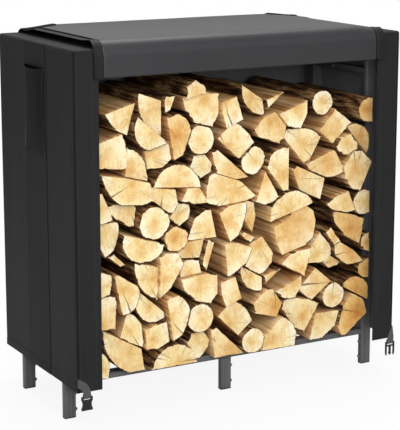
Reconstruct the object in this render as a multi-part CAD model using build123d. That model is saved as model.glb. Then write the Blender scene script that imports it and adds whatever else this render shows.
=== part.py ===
from build123d import *
import math
import os

# Firewood store: a steel tube frame, a fabric cover with its front flap turned back over the roof,
# and a stack of split logs. Millimetres, X to the right, the open front towards -Y, Z up from the ground.

# Cover
COVER_W = 1200.0
COVER_D = 584.0
COVER_TOP = 1191.0
HEM_UP = 124.0
FABRIC = 2.0
STRIP_W = 85.0
VALANCE_H = 85.0

# Front flap, turned up over the valance, across the roof and down behind
FLAP_IN = 68.0
FLAP_STAND = 7.0
FLAP_RISE = 24.0
FLAP_BEND_R = 44.0
FLAP_SEAM_H = 14.0
FLAP_HANG = 258.0
TAB_L = 115.0
TAB_T = 3.0
TAB_BEFORE = 18.0
TAB_TURN_DEG = 40.0

# Sewn band and loose handle on each side
BAND_W = 170.0
BAND_T = 1.0
HANDLE_W = 160.0
HANDLE_DROP = 76.0
HANDLE_H = 290.0
HANDLE_TAB = 14.0
HANDLE_BULGE = 16.0

# Frame of one rectangular tube
COVER_EASE = 5.0
FRAME_D = 350.0
TUBE_WIDE = 40.0
TUBE_THIN = 20.0
TUBE_R = 3.0
TUBE_WALL = 1.5
RAIL_UNDER = 110.0
SIDE_RAIL_RISE = 16.0
CROSS_RAIL_DROP = 157.0
CAP_H = 4.0
CAP_EDGE = 1.2
PLUG_H = 16.0

# Webbing straps and the two halves of a side-release buckle
WEB_W = 25.0
WEB_T = 2.0
LEFT_ROOT_RISE = 34.0
LEFT_HANG_IN = 32.5
LEFT_BEND_R = 24.0
RIGHT_ROOT_RISE = 38.0
RIGHT_FOLD_RISE = 8.0
RIGHT_HANG_IN = 7.0
WEB_TAIL = 12.0
BUCKLE_DROP = 16.0
BUCKLE_W = 37.0
BUCKLE_T = 9.0
BAR_H = 4.0
BAR_DOWN = 1.0
SLOT_W = 27.0
SLOT_H = 6.0
SOCKET_H = 44.0
SOCKET_WAIST_W = 29.0
SOCKET_EDGE = 1.0
MOUTH_W = 27.0
MOUTH_T = 5.5
MOUTH_DEEP = 24.0
PRONG_T = 5.0
PRONG_BASE_H = 16.0
PRONG_L = 32.0
PRONG_W = 5.0
TONGUE_W = 7.0
TONGUE_TIP_W = 12.0
TONGUE_TIP_H = 9.0

# Firewood: the shares below are of a square whose sides are these shares of the bay's width and height
ACROSS_SHARE = 0.9114
UP_SHARE = 0.9521
LOG_L = 430.0
LOG_FRONT = 215.0
LOG_STAGGER = 34.0
LOG_STEPS = 11
LOG_STRIDE = 7
LOG_GAP = 0.3
LOG_SWELL = 1.1
TRIM_TURNS = 72
BOW_STEPS = 40

# Clearance between pieces that lie against each other, and how far a cut runs past what it cuts
SEAT = 0.3
OVERRUN = 1.0

half_w = COVER_W / 2
half_d = COVER_D / 2
flap_w = COVER_W - 2 * FLAP_IN
frame_w = COVER_W - 2 * (FABRIC + COVER_EASE)
post_x = (frame_w - TUBE_WIDE) / 2
post_y = (FRAME_D - TUBE_THIN) / 2
bay_w = frame_w - 2 * TUBE_WIDE
bay_d = FRAME_D - 2 * TUBE_THIN
rail_y = (FRAME_D - TUBE_WIDE) / 2
rail_top = RAIL_UNDER + TUBE_THIN
side_rail_under = RAIL_UNDER + SIDE_RAIL_RISE
roof_under = COVER_TOP - FABRIC
frame_top = roof_under - SEAT
valance_low = COVER_TOP - VALANCE_H
handle_top = COVER_TOP - HANDLE_DROP
handle_low = handle_top - HANDLE_H
cross_rail_under = COVER_TOP - CROSS_RAIL_DROP
left_root = HEM_UP + LEFT_ROOT_RISE
right_root = HEM_UP + RIGHT_ROOT_RISE
right_fold = HEM_UP + RIGHT_FOLD_RISE
buckle_top = HEM_UP - BUCKLE_DROP
across_unit = bay_w * ACROSS_SHARE
up_unit = (frame_top - rail_top) * UP_SHARE

# Each log's outline as corners in turn, in shares of that square: across from the left post,
# then up from the rail. A third entry marks the middle of a bark curve, which bows between its neighbours.
BARK = True
OUTLINE_SHARES = {
    "log_course_1": [
        [(0.049, 0.096), (0.079, 0.081), (0.093, 0.051), (0.086, 0.002), (0.049, 0.002)],
        [(0.085, 0.149), (0.211, 0.073), (0.224, 0.002), (0.177, 0.001), (0.110, 0.054, BARK)],
        [(0.253, 0.002), (0.334, 0.072, BARK), (0.411, 0.001)],
        [(0.389, 0.059), (0.404, 0.088), (0.444, 0.094), (0.469, 0.061), (0.466, 0.036),
         (0.431, 0.001), (0.404, 0.020)],
        [(0.471, 0.096), (0.491, 0.101), (0.591, 0.003), (0.487, 0.002)],
        [(0.665, 0.002), (0.671, 0.042), (0.737, 0.104), (0.777, 0.078, BARK), (0.791, 0.034),
         (0.784, 0.002)],
        [(0.887, 0.089), (0.981, 0.088), (0.964, 0.036), (0.914, 0.001), (0.867, 0.001)],
        [(0.993, 0.113), (1.034, 0.138), (1.069, 0.118), (1.084, 0.071), (0.994, 0.002),
         (0.971, 0.041), (0.979, 0.086)],
    ],
    "log_course_2": [
        [(0.170, 0.196), (0.212, 0.164, BARK), (0.220, 0.082), (0.145, 0.116)],
        [(0.224, 0.131), (0.299, 0.156), (0.312, 0.126), (0.311, 0.088), (0.269, 0.069), (0.231, 0.071)],
        [(0.293, 0.222), (0.341, 0.234), (0.373, 0.206, BARK), (0.381, 0.161), (0.357, 0.112),
         (0.318, 0.094)],
        [(0.502, 0.139), (0.554, 0.185), (0.599, 0.156, BARK), (0.627, 0.108), (0.579, 0.066)],
        [(0.626, 0.168), (0.669, 0.208), (0.699, 0.208), (0.734, 0.156), (0.714, 0.114), (0.637, 0.136)],
        [(0.755, 0.126), (0.761, 0.156), (0.831, 0.153, BARK), (0.896, 0.124), (0.841, 0.039),
         (0.809, 0.053)],
        [(0.988, 0.179), (1.066, 0.197, BARK), (1.090, 0.120)],
    ],
    "log_course_3": [
        [(0.049, 0.258), (0.107, 0.264), (0.125, 0.254), (0.119, 0.159), (0.049, 0.162)],
        [(0.114, 0.334), (0.129, 0.328), (0.197, 0.283), (0.197, 0.237, BARK), (0.163, 0.204),
         (0.141, 0.204)],
        [(0.212, 0.259), (0.308, 0.175), (0.297, 0.161), (0.216, 0.178, BARK)],
        [(0.362, 0.284), (0.439, 0.294), (0.485, 0.283), (0.487, 0.221), (0.464, 0.195),
         (0.409, 0.211), (0.374, 0.241)],
        [(0.497, 0.258), (0.549, 0.268), (0.572, 0.196), (0.517, 0.178), (0.501, 0.216)],
        [(0.587, 0.301), (0.664, 0.254), (0.665, 0.206), (0.604, 0.231, BARK)],
        [(0.712, 0.196), (0.811, 0.236), (0.811, 0.196), (0.791, 0.164), (0.747, 0.168)],
        [(0.884, 0.248), (0.947, 0.196), (0.872, 0.143), (0.820, 0.187)],
    ],
    "log_course_4": [
        [(0.049, 0.346), (0.079, 0.346), (0.107, 0.334), (0.107, 0.311), (0.099, 0.275), (0.049, 0.258)],
        [(0.106, 0.387), (0.122, 0.397), (0.165, 0.355), (0.149, 0.350)],
        [(0.193, 0.358), (0.271, 0.334), (0.274, 0.232), (0.209, 0.282, BARK)],
        [(0.275, 0.364), (0.293, 0.379), (0.341, 0.377), (0.359, 0.337), (0.319, 0.276), (0.278, 0.244)],
        [(0.363, 0.336), (0.387, 0.348), (0.427, 0.338), (0.439, 0.296), (0.362, 0.286)],
        [(0.665, 0.259), (0.731, 0.274), (0.674, 0.231)],
        [(0.732, 0.293), (0.769, 0.326), (0.841, 0.332), (0.817, 0.244)],
        [(0.847, 0.308), (0.894, 0.374), (0.935, 0.330), (0.941, 0.296), (0.909, 0.274), (0.853, 0.278)],
        [(0.943, 0.326), (0.964, 0.339), (1.024, 0.301), (1.066, 0.259), (0.994, 0.255), (0.945, 0.294)],
        [(0.909, 0.271), (0.941, 0.291), (0.989, 0.259), (0.969, 0.250), (0.939, 0.245)],
    ],
    "log_course_5": [
        [(0.149, 0.456), (0.292, 0.412), (0.197, 0.365, BARK)],
        [(0.347, 0.384), (0.379, 0.401), (0.449, 0.405), (0.431, 0.346), (0.364, 0.353)],
        [(0.455, 0.405), (0.479, 0.393), (0.451, 0.307), (0.432, 0.326)],
        [(0.516, 0.381), (0.559, 0.381), (0.614, 0.358), (0.594, 0.311), (0.539, 0.278), (0.524, 0.281)],
        [(0.621, 0.364), (0.667, 0.383), (0.707, 0.326), (0.704, 0.296), (0.669, 0.263),
         (0.639, 0.268), (0.607, 0.296)],
        [(0.710, 0.416), (0.776, 0.442), (0.831, 0.346), (0.769, 0.328), (0.741, 0.321), (0.717, 0.368)],
        [(0.901, 0.380), (0.921, 0.396), (0.963, 0.343), (0.938, 0.330)],
        [(0.947, 0.438), (0.972, 0.441), (1.071, 0.407), (1.053, 0.326), (0.994, 0.359), (0.954, 0.401)],
    ],
    "log_course_6": [
        [(0.069, 0.496), (0.139, 0.496), (0.149, 0.456), (0.124, 0.401), (0.100, 0.386), (0.069, 0.446)],
        [(0.409, 0.481), (0.451, 0.504), (0.466, 0.501), (0.486, 0.413), (0.384, 0.414)],
        [(0.497, 0.488), (0.549, 0.519), (0.592, 0.521), (0.596, 0.481), (0.571, 0.418), (0.536, 0.397)],
        [(0.597, 0.518), (0.637, 0.511), (0.644, 0.471), (0.631, 0.411), (0.597, 0.461)],
        [(0.575, 0.415), (0.589, 0.416), (0.633, 0.392), (0.617, 0.375), (0.604, 0.383)],
        [(0.691, 0.439), (0.693, 0.488), (0.766, 0.536, BARK), (0.848, 0.488), (0.831, 0.476)],
        [(0.777, 0.459), (0.827, 0.479), (0.869, 0.451), (0.879, 0.416), (0.867, 0.364),
         (0.835, 0.346), (0.787, 0.428)],
        [(0.914, 0.474), (0.941, 0.492), (0.999, 0.508), (1.031, 0.444), (0.987, 0.433), (0.931, 0.454)],
    ],
    "log_course_7": [
        [(0.049, 0.591), (0.077, 0.594), (0.114, 0.511), (0.069, 0.496), (0.049, 0.501)],
        [(0.107, 0.546), (0.144, 0.553), (0.199, 0.546), (0.207, 0.532), (0.197, 0.478),
         (0.169, 0.476), (0.119, 0.511)],
        [(0.247, 0.597), (0.337, 0.581), (0.345, 0.534), (0.341, 0.509), (0.307, 0.508),
         (0.271, 0.538), (0.250, 0.564)],
        [(0.381, 0.587), (0.420, 0.580), (0.448, 0.533), (0.399, 0.530), (0.357, 0.544)],
        [(0.347, 0.534), (0.393, 0.528), (0.399, 0.508), (0.395, 0.484), (0.356, 0.459), (0.319, 0.494)],
        [(0.465, 0.613), (0.492, 0.620), (0.571, 0.588), (0.630, 0.532), (0.529, 0.511, BARK),
         (0.451, 0.532)],
        [(0.660, 0.616), (0.716, 0.520), (0.669, 0.503, BARK), (0.623, 0.516)],
        [(0.789, 0.601), (0.809, 0.613), (0.907, 0.565), (0.891, 0.496), (0.814, 0.531)],
        [(1.024, 0.646), (1.049, 0.646), (1.092, 0.606), (1.047, 0.513), (1.014, 0.521),
         (0.989, 0.556), (0.981, 0.591)],
    ],
    "log_course_8": [
        [(0.078, 0.651), (0.224, 0.624), (0.241, 0.608), (0.249, 0.560), (0.201, 0.546),
         (0.144, 0.553), (0.101, 0.594, BARK)],
        [(0.165, 0.639), (0.170, 0.727), (0.224, 0.694, BARK), (0.237, 0.616)],
        [(0.261, 0.597), (0.341, 0.662, BARK), (0.420, 0.581)],
        [(0.399, 0.646), (0.414, 0.678), (0.452, 0.681), (0.479, 0.649), (0.476, 0.626),
         (0.441, 0.608), (0.421, 0.618)],
        [(0.478, 0.684), (0.496, 0.692), (0.602, 0.600), (0.545, 0.596), (0.493, 0.618)],
        [(0.753, 0.678), (0.755, 0.544), (0.740, 0.541), (0.672, 0.626), (0.692, 0.664, BARK)],
        [(0.755, 0.711), (0.761, 0.737), (0.831, 0.737, BARK), (0.893, 0.708), (0.843, 0.624),
         (0.829, 0.625)],
        [(0.833, 0.623), (0.921, 0.656), (0.947, 0.654), (0.963, 0.620), (0.981, 0.584),
         (0.894, 0.572, BARK)],
        [(0.941, 0.671), (0.959, 0.696), (0.999, 0.706), (1.024, 0.681), (1.026, 0.656),
         (0.990, 0.637), (0.947, 0.651)],
    ],
    "log_course_9": [
        [(0.048, 0.741), (0.148, 0.775), (0.165, 0.724), (0.164, 0.668), (0.048, 0.680)],
        [(0.202, 0.828), (0.301, 0.740), (0.203, 0.742, BARK)],
        [(0.233, 0.718), (0.307, 0.740), (0.323, 0.726), (0.325, 0.683), (0.294, 0.659), (0.243, 0.659)],
        [(0.303, 0.810), (0.344, 0.823), (0.381, 0.796, BARK), (0.389, 0.749), (0.368, 0.699),
         (0.326, 0.682)],
        [(0.507, 0.729), (0.563, 0.778), (0.609, 0.746, BARK), (0.637, 0.701), (0.587, 0.656)],
        [(0.635, 0.749), (0.672, 0.788), (0.709, 0.801), (0.749, 0.761), (0.741, 0.716),
         (0.724, 0.701), (0.647, 0.728)],
        [(0.936, 0.796), (0.998, 0.746), (0.926, 0.685), (0.872, 0.729)],
        [(1.001, 0.729), (1.077, 0.718, BARK), (1.084, 0.635)],
    ],
    "log_course_10": [
        [(0.187, 0.869), (0.090, 0.842), (0.114, 0.804, BARK), (0.161, 0.776)],
        [(0.216, 0.893), (0.297, 0.864), (0.297, 0.761), (0.231, 0.808, BARK)],
        [(0.291, 0.864), (0.303, 0.883), (0.335, 0.882), (0.318, 0.839), (0.301, 0.830)],
        [(0.372, 0.911), (0.401, 0.931), (0.433, 0.911), (0.445, 0.884), (0.372, 0.872)],
        [(0.373, 0.872), (0.447, 0.882), (0.494, 0.874), (0.493, 0.808), (0.472, 0.774),
         (0.417, 0.788), (0.385, 0.826)],
        [(0.505, 0.846), (0.556, 0.862), (0.581, 0.788), (0.523, 0.768), (0.508, 0.808)],
        [(0.594, 0.894), (0.672, 0.842), (0.675, 0.796), (0.611, 0.824, BARK)],
        [(0.674, 0.844), (0.739, 0.864), (0.681, 0.816)],
        [(0.720, 0.794), (0.821, 0.831), (0.822, 0.789), (0.797, 0.742), (0.749, 0.755)],
    ],
}

# The round logs: across, up and radius, in the same shares
ROUND_SHARES = {
    "log_course_1": [(0.621, 0.044, 0.042)],
    "log_course_2": [(0.423, 0.149, 0.046), (0.957, 0.148, 0.043)],
    "log_course_3": [(1.086, 0.230, 0.035)],
    "log_course_4": [(1.091, 0.323, 0.032)],
    "log_course_5": [(0.337, 0.421, 0.042)],
    "log_course_6": [(0.253, 0.486, 0.051), (1.071, 0.464, 0.042)],
    "log_course_8": [(0.631, 0.648, 0.045)],
    "log_course_9": [(0.431, 0.735, 0.046)],
    "log_course_10": [(0.901, 0.818, 0.040), (1.081, 0.783, 0.041)],
}


def block(x_low, x_high, y_low, y_high, z_low, z_high):
    """A plain box between two corners."""
    box = Box(x_high - x_low, y_high - y_low, z_high - z_low)
    return Pos((x_low + x_high) / 2, (y_low + y_high) / 2, (z_low + z_high) / 2) * box


def tube(plane, length):
    """A length of the frame's tube, its wide side along the plane's X."""
    outer = RectangleRounded(TUBE_WIDE, TUBE_THIN, TUBE_R)
    inner = RectangleRounded(TUBE_WIDE - 2 * TUBE_WALL, TUBE_THIN - 2 * TUBE_WALL, TUBE_R - TUBE_WALL)
    return extrude(plane * (outer - inner), amount=length)


def upright(x, y, top):
    """A leg or post standing on its foot cap."""
    return tube(Plane((x, y, CAP_H), x_dir=(1, 0, 0), z_dir=(0, 0, 1)), top - CAP_H)


def long_rail(y, under):
    """A rail along the front or back, between the posts."""
    return tube(Plane((-bay_w / 2, y, under + TUBE_THIN / 2), x_dir=(0, 1, 0), z_dir=(1, 0, 0)), bay_w)


def side_rail(x, under):
    """A rail from the front post to the back post of one side."""
    return tube(Plane((x, -bay_d / 2, under + TUBE_THIN / 2), x_dir=(1, 0, 0), z_dir=(0, 1, 0)), bay_d)


def foot_cap(x, y):
    """A moulded cap: a flange under the tube and a plug inside it."""
    flange = extrude(RectangleRounded(TUBE_WIDE, TUBE_THIN, TUBE_R), amount=CAP_H)
    flange = chamfer(flange.faces().sort_by(Axis.Z)[0].edges(), CAP_EDGE)
    inset = 2 * (TUBE_WALL + SEAT)
    plug = chamfer(Rectangle(TUBE_WIDE - inset, TUBE_THIN - inset).vertices(), TUBE_R - TUBE_WALL)
    return Pos(x, y, 0) * (flange + extrude(plug, amount=CAP_H + PLUG_H))


def flap_path():
    """The middle line of the turned-back flap, from its seam under the valance to its free edge behind."""
    seam_y = -half_d - SEAT - FABRIC / 2
    out_y = half_d + FLAP_STAND
    top_z = COVER_TOP + FLAP_RISE
    seam = (seam_y, valance_low)
    turned = (-out_y, valance_low)
    rise = (-out_y, top_z - FLAP_BEND_R)
    over = (FLAP_BEND_R - out_y, top_z)
    back = (out_y - FLAP_BEND_R, top_z)
    drop = (out_y, top_z - FLAP_BEND_R)
    tail = (out_y, COVER_TOP - FLAP_HANG)
    fold_low = ((seam_y - out_y) / 2, valance_low - (out_y + seam_y) / 2)
    return Wire([
        Line((seam_y, valance_low + FLAP_SEAM_H), seam).edge(),
        ThreePointArc(seam, fold_low, turned).edge(),
        Line(turned, rise).edge(),
        RadiusArc(rise, over, FLAP_BEND_R).edge(),
        Line(over, back).edge(),
        RadiusArc(back, drop, FLAP_BEND_R).edge(),
        Line(drop, tail).edge(),
    ])


def flap():
    """The flap as one bent sheet."""
    section = trace(flap_path(), line_width=FABRIC)
    return extrude(Plane.YZ * section, amount=flap_w / 2, both=True)


def flap_tab(side):
    """A dark tab lying on the flap's back bend, at one end of it."""
    bend = (half_d + FLAP_STAND - FLAP_BEND_R, COVER_TOP + FLAP_RISE - FLAP_BEND_R)
    radius = FLAP_BEND_R + FABRIC / 2 + SEAT + TAB_T / 2
    turn = math.radians(TAB_TURN_DEG)
    crown = (bend[0], bend[1] + radius)
    half_way = (bend[0] + radius * math.sin(turn / 2), bend[1] + radius * math.cos(turn / 2))
    low = (bend[0] + radius * math.sin(turn), bend[1] + radius * math.cos(turn))
    flat = Line((crown[0] - TAB_BEFORE, crown[1]), crown).edge()
    path = Wire([flat, ThreePointArc(crown, half_way, low).edge()])
    tab = extrude(Plane.YZ * trace(path, line_width=TAB_T), amount=TAB_L)
    start = -flap_w / 2 if side < 0 else flap_w / 2 - TAB_L
    return Pos(start, 0, 0) * tab


def handle(side):
    """A loose handle, sewn flat at both ends and bowed out between them."""
    flat = half_w + BAND_T + SEAT
    low = handle_low + HANDLE_TAB
    top = handle_top - HANDLE_TAB
    middle = (low + top) / 2
    inner = ThreePointArc((flat, low), (flat + HANDLE_BULGE, middle), (flat, top))
    outer = ThreePointArc((flat + FABRIC, top), (flat + FABRIC + HANDLE_BULGE, middle), (flat + FABRIC, low))
    upper = Polyline((flat, top), (flat, handle_top), (flat + FABRIC, handle_top), (flat + FABRIC, top))
    lower = Polyline((flat + FABRIC, low), (flat + FABRIC, handle_low), (flat, handle_low), (flat, low))
    rim = [inner, upper, outer, lower]
    loop = extrude(Plane.XZ * make_face(rim), amount=HANDLE_W / 2, both=True)
    return loop if side > 0 else mirror(loop, about=Plane.YZ)


# The webbing lies against the front strips and goes round the buckle's bar
web_y = -half_d - SEAT - WEB_T / 2
bar_y = web_y + WEB_T / 2 + SEAT + BAR_H / 2
web_plane = Plane((0, web_y, 0), x_dir=(1, 0, 0), z_dir=(0, -1, 0))
bar_mid = buckle_top - BAR_DOWN - BAR_H / 2
left_x = LEFT_HANG_IN - half_w
right_x = half_w - RIGHT_HANG_IN


def web_loop(x):
    """The end of a strap, down the front of the bar, round it and a little way up behind."""
    reach = BAR_H / 2 + SEAT + WEB_T / 2
    path = Wire([
        Line((bar_y - reach, buckle_top), (bar_y - reach, bar_mid)).edge(),
        ThreePointArc((bar_y - reach, bar_mid), (bar_y, bar_mid - reach), (bar_y + reach, bar_mid)).edge(),
        Line((bar_y + reach, bar_mid), (bar_y + reach, bar_mid + WEB_TAIL)).edge(),
    ])
    loop = extrude(Plane.YZ * trace(path, line_width=WEB_T), amount=WEB_W / 2, both=True)
    return Pos(x, 0, 0) * loop


def left_strap():
    """Out of the corner seam, bent down and round the socket's bar."""
    bend_start = (left_x - LEFT_BEND_R, left_root)
    bend_end = (left_x, left_root - LEFT_BEND_R)
    path = Wire([
        Line((-half_w, left_root), bend_start).edge(),
        RadiusArc(bend_start, bend_end, LEFT_BEND_R).edge(),
        Line(bend_end, (left_x, buckle_top)).edge(),
    ])
    flat = extrude(web_plane * trace(path, line_width=WEB_W), amount=WEB_T / 2, both=True)
    return flat + web_loop(left_x)


def right_strap():
    """Folded down from the corner seam, straight to the prongs' bar."""
    outer = right_x + WEB_W / 2
    inner = right_x - WEB_W / 2
    corners = [(outer, right_root), (outer, buckle_top), (inner, buckle_top), (inner, right_fold)]
    flat = extrude(web_plane * make_face(Polyline(*corners, close=True)), amount=WEB_T / 2, both=True)
    return flat + web_loop(right_x)


def bar_slot():
    """What is cut away round the buckle's bar for the webbing, with the top of the buckle at zero."""
    low = BAR_DOWN + BAR_H + SLOT_H
    room = Pos(0, 0, (OVERRUN - low) / 2) * Box(SLOT_W, BUCKLE_T + 2 * OVERRUN, low + OVERRUN)
    bar = Rot(0, 90, 0) * Cylinder(BAR_H / 2, SLOT_W + 2 * OVERRUN)
    return room - Pos(0, 0, -BAR_DOWN - BAR_H / 2) * bar


def buckle_socket():
    """The female half: a bar, a waisted body and an open mouth below."""
    wide = BUCKLE_W / 2
    waist = SOCKET_WAIST_W / 2
    shoulder = -BAR_DOWN - BAR_H - SLOT_H
    mouth_top = -SOCKET_H + MOUTH_DEEP / 4
    waist_mid = (shoulder + mouth_top) / 2
    right = [(0, 0), (wide, 0), (wide, shoulder)]
    left = [(-x, z) for x, z in reversed(right)]
    rim = [Polyline(*right), ThreePointArc((wide, shoulder), (waist, waist_mid), (wide, mouth_top)),
           Polyline((wide, mouth_top), (wide, -SOCKET_H), (-wide, -SOCKET_H), (-wide, mouth_top)),
           ThreePointArc((-wide, mouth_top), (-waist, waist_mid), (-wide, shoulder)), Polyline(*left)]
    body = extrude(Plane.XZ * make_face(rim), amount=BUCKLE_T / 2, both=True)
    body = chamfer(body.faces().filter_by(Axis.Y).edges(), SOCKET_EDGE)
    hollow = Box(MOUTH_W - 2 * (wide - waist), MOUTH_T, MOUTH_DEEP + OVERRUN)
    body -= Pos(0, 0, -SOCKET_H + (MOUTH_DEEP - OVERRUN) / 2) * hollow
    return Pos(left_x, bar_y, buckle_top) * (body - bar_slot())


def buckle_prongs():
    """The male half: a bar, two spring prongs and an arrow-tipped tongue between them."""
    wide = BUCKLE_W / 2
    low = -PRONG_BASE_H - PRONG_L
    base = Pos(0, -PRONG_BASE_H / 2) * Rectangle(BUCKLE_W, PRONG_BASE_H)
    tongue = make_face(Polyline(
        (-TONGUE_W / 2, -PRONG_BASE_H), (TONGUE_W / 2, -PRONG_BASE_H), (TONGUE_W / 2, low + TONGUE_TIP_H),
        (TONGUE_TIP_W / 2, low + TONGUE_TIP_H), (0, low), (-TONGUE_TIP_W / 2, low + TONGUE_TIP_H),
        (-TONGUE_W / 2, low + TONGUE_TIP_H), close=True))
    shin = low + TONGUE_TIP_H
    prong = make_face(Polyline(
        (wide - PRONG_W, -PRONG_BASE_H), (wide, -PRONG_BASE_H), (wide, shin), (wide - PRONG_W / 2, low),
        (wide - PRONG_W, low), (wide - PRONG_W, shin), close=True))
    outline = base + tongue + prong + mirror(prong, about=Plane.YZ)
    body = extrude(Plane.XZ * outline, amount=PRONG_T / 2, both=True)
    return Pos(right_x, bar_y, buckle_top) * (body - bar_slot())


def place(across_share, up_share):
    """A point of the stack's face, in millimetres."""
    return (across_share * across_unit - bay_w / 2, rail_top + SEAT + up_share * up_unit)


def swell(row):
    """A log's outline grown a little about its middle, so that it presses on its neighbours."""
    across = sum(entry[0] for entry in row) / len(row)
    up = sum(entry[1] for entry in row) / len(row)
    return [(across + (x - across) * LOG_SWELL, up + (z - up) * LOG_SWELL, *mark) for x, z, *mark in row]


def split_outline(row):
    """The edges of a split log: straight where it was split, bowed where it has bark."""
    row = swell(row)
    corners = [entry for entry in row if len(entry) == 2]
    start = row.index(corners[0])
    turned = row[start:] + row[:start] + [corners[0]]
    edges = []
    bow = None
    last = turned[0]
    for entry in turned[1:]:
        if len(entry) > 2:
            bow = entry
            continue
        if bow:
            edges.append(ThreePointArc(place(*last), place(bow[0], bow[1]), place(*entry)).edge())
        else:
            edges.append(Line(place(*last), place(*entry)).edge())
        bow = None
        last = entry
    return edges


def round_outline(across_share, up_share, radius_share):
    """The rim of a round log."""
    x, z = place(across_share, up_share)
    radius = radius_share * LOG_SWELL * min(across_unit, up_unit)
    return [(Pos(x, z) * CenterArc((0, 0), radius, 0, 360)).edge()]


def rim_points(edges):
    """Points along an outline, to compare it with its neighbours."""
    spots = []
    for edge in edges:
        steps = BOW_STEPS if edge.geom_type == GeomType.CIRCLE else 1
        spots += [edge @ (step / steps) for step in range(steps)]
    return [(spot.X, spot.Y) for spot in spots]


def extent(points, direction):
    """The lowest and highest reach of some points along a direction."""
    reach = [x * direction[0] + z * direction[1] for x, z in points]
    return min(reach), max(reach)


def clip(polygon, direction, limit):
    """The part of a convex polygon that lies below a limit along a direction."""
    kept = []
    for (x0, z0), (x1, z1) in zip(polygon, polygon[1:] + polygon[:1]):
        here = x0 * direction[0] + z0 * direction[1] - limit
        there = x1 * direction[0] + z1 * direction[1] - limit
        if here <= 0:
            kept.append((x0, z0))
        if here * there < 0:
            share = here / (here - there)
            kept.append((x0 + share * (x1 - x0), z0 + share * (z1 - z0)))
    return kept


turns = [2 * math.pi * turn / TRIM_TURNS for turn in range(TRIM_TURNS)]
directions = [(math.cos(turn), math.sin(turn)) for turn in turns]


def trim_rooms(outlines):
    """For each log the room left to it: where two logs overlap, a straight cut between them parts them."""
    wall = bay_w / 2 - SEAT
    bay = [(-wall, rail_top + SEAT), (wall, rail_top + SEAT), (wall, frame_top), (-wall, frame_top)]
    rooms = [list(bay) for _ in outlines]
    points = [rim_points(edges) for edges in outlines]
    reach = [[extent(cloud, direction) for direction in directions] for cloud in points]
    for first in range(len(outlines)):
        for second in range(first + 1, len(outlines)):
            depths = [reach[first][k][1] - reach[second][k][0] for k in range(TRIM_TURNS)]
            shallow = min(depths)
            if shallow < -LOG_GAP:
                continue
            k = depths.index(shallow)
            cut = (reach[first][k][1] + reach[second][k][0]) / 2
            away = (-directions[k][0], -directions[k][1])
            rooms[first] = clip(rooms[first], directions[k], cut - LOG_GAP / 2)
            rooms[second] = clip(rooms[second], away, -cut - LOG_GAP / 2)
    return rooms


def stack():
    """Every course of the firewood as a node of separate logs."""
    names = []
    outlines = []
    for course, rows in OUTLINE_SHARES.items():
        shapes = [split_outline(row) for row in rows]
        shapes += [round_outline(*row) for row in ROUND_SHARES.get(course, [])]
        names += [course] * len(shapes)
        outlines += shapes
    courses = {course: [] for course in OUTLINE_SHARES}
    for index, (edges, room) in enumerate(zip(outlines, trim_rooms(outlines))):
        profile = make_face(edges) & make_face(Polyline(*room, close=True))
        stagger = LOG_STAGGER * ((index * LOG_STRIDE % LOG_STEPS) / (LOG_STEPS - 1) - 1 / 2)
        end = Plane((0, stagger - LOG_FRONT, 0), x_dir=(1, 0, 0), z_dir=(0, -1, 0))
        courses[names[index]].append(extrude(end * profile, amount=-LOG_L))
    return {course: Compound(children=[log.solid() for log in logs]) for course, logs in courses.items()}


strip_in = STRIP_W - half_w
front_in = FABRIC - half_d
legs = [(x, y) for x in (-post_x, 0, post_x) for y in (-post_y, post_y)]
nodes = {
    "front_left_post": upright(-post_x, -post_y, frame_top),
    "front_right_post": upright(post_x, -post_y, frame_top),
    "back_left_post": upright(-post_x, post_y, frame_top),
    "back_right_post": upright(post_x, post_y, frame_top),
    "front_middle_leg": upright(0, -post_y, RAIL_UNDER),
    "back_middle_leg": upright(0, post_y, RAIL_UNDER),
    "front_bottom_rail": long_rail(-rail_y, RAIL_UNDER),
    "back_bottom_rail": long_rail(rail_y, RAIL_UNDER),
    "left_bottom_rail": side_rail(-post_x, side_rail_under),
    "right_bottom_rail": side_rail(post_x, side_rail_under),
    "left_cross_rail": side_rail(-post_x, cross_rail_under),
    "right_cross_rail": side_rail(post_x, cross_rail_under),
    "left_top_bar": side_rail(-post_x, frame_top - TUBE_THIN),
    "right_top_bar": side_rail(post_x, frame_top - TUBE_THIN),
    "foot_caps": Compound(children=[foot_cap(x, y).solid() for x, y in legs]),
    "left_panel": block(-half_w, FABRIC - half_w, -half_d, half_d, HEM_UP, COVER_TOP),
    "right_panel": block(half_w - FABRIC, half_w, -half_d, half_d, HEM_UP, COVER_TOP),
    "back_panel": block(FABRIC - half_w, half_w - FABRIC, half_d - FABRIC, half_d, HEM_UP, COVER_TOP),
    "roof_panel": block(FABRIC - half_w, half_w - FABRIC, -half_d, half_d - FABRIC, roof_under, COVER_TOP),
    "left_front_strip": block(FABRIC - half_w, strip_in, -half_d, front_in, HEM_UP, roof_under),
    "right_front_strip": block(-strip_in, half_w - FABRIC, -half_d, front_in, HEM_UP, roof_under),
    "front_valance": block(strip_in, -strip_in, -half_d, front_in, valance_low, roof_under),
    "front_flap": flap(),
    "flap_tabs": Compound(children=[flap_tab(side).solid() for side in (-1, 1)]),
    "left_band": block(-half_w - BAND_T, -half_w, -BAND_W / 2, BAND_W / 2, HEM_UP, COVER_TOP),
    "right_band": block(half_w, half_w + BAND_T, -BAND_W / 2, BAND_W / 2, HEM_UP, COVER_TOP),
    "left_handle": handle(-1),
    "right_handle": handle(1),
    "left_strap": left_strap(),
    "right_strap": right_strap(),
    "buckle_socket": buckle_socket(),
    "buckle_prongs": buckle_prongs(),
}
nodes.update(stack())

os.makedirs("parts", exist_ok=True)
for name, shape in nodes.items():
    export_step(shape, f"parts/{name}.step")
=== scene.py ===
# %% [markdown]
# # Dressing a firewood store
# The store is a frame of steel tube on six legs, a fabric cover whose front flap is turned back over
# the roof, and a stack of split logs. The solids already have the right sizes and places. This lesson
# loads them as a fixed frame and gives every piece the shape, finish and sewing of the real one.

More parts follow.
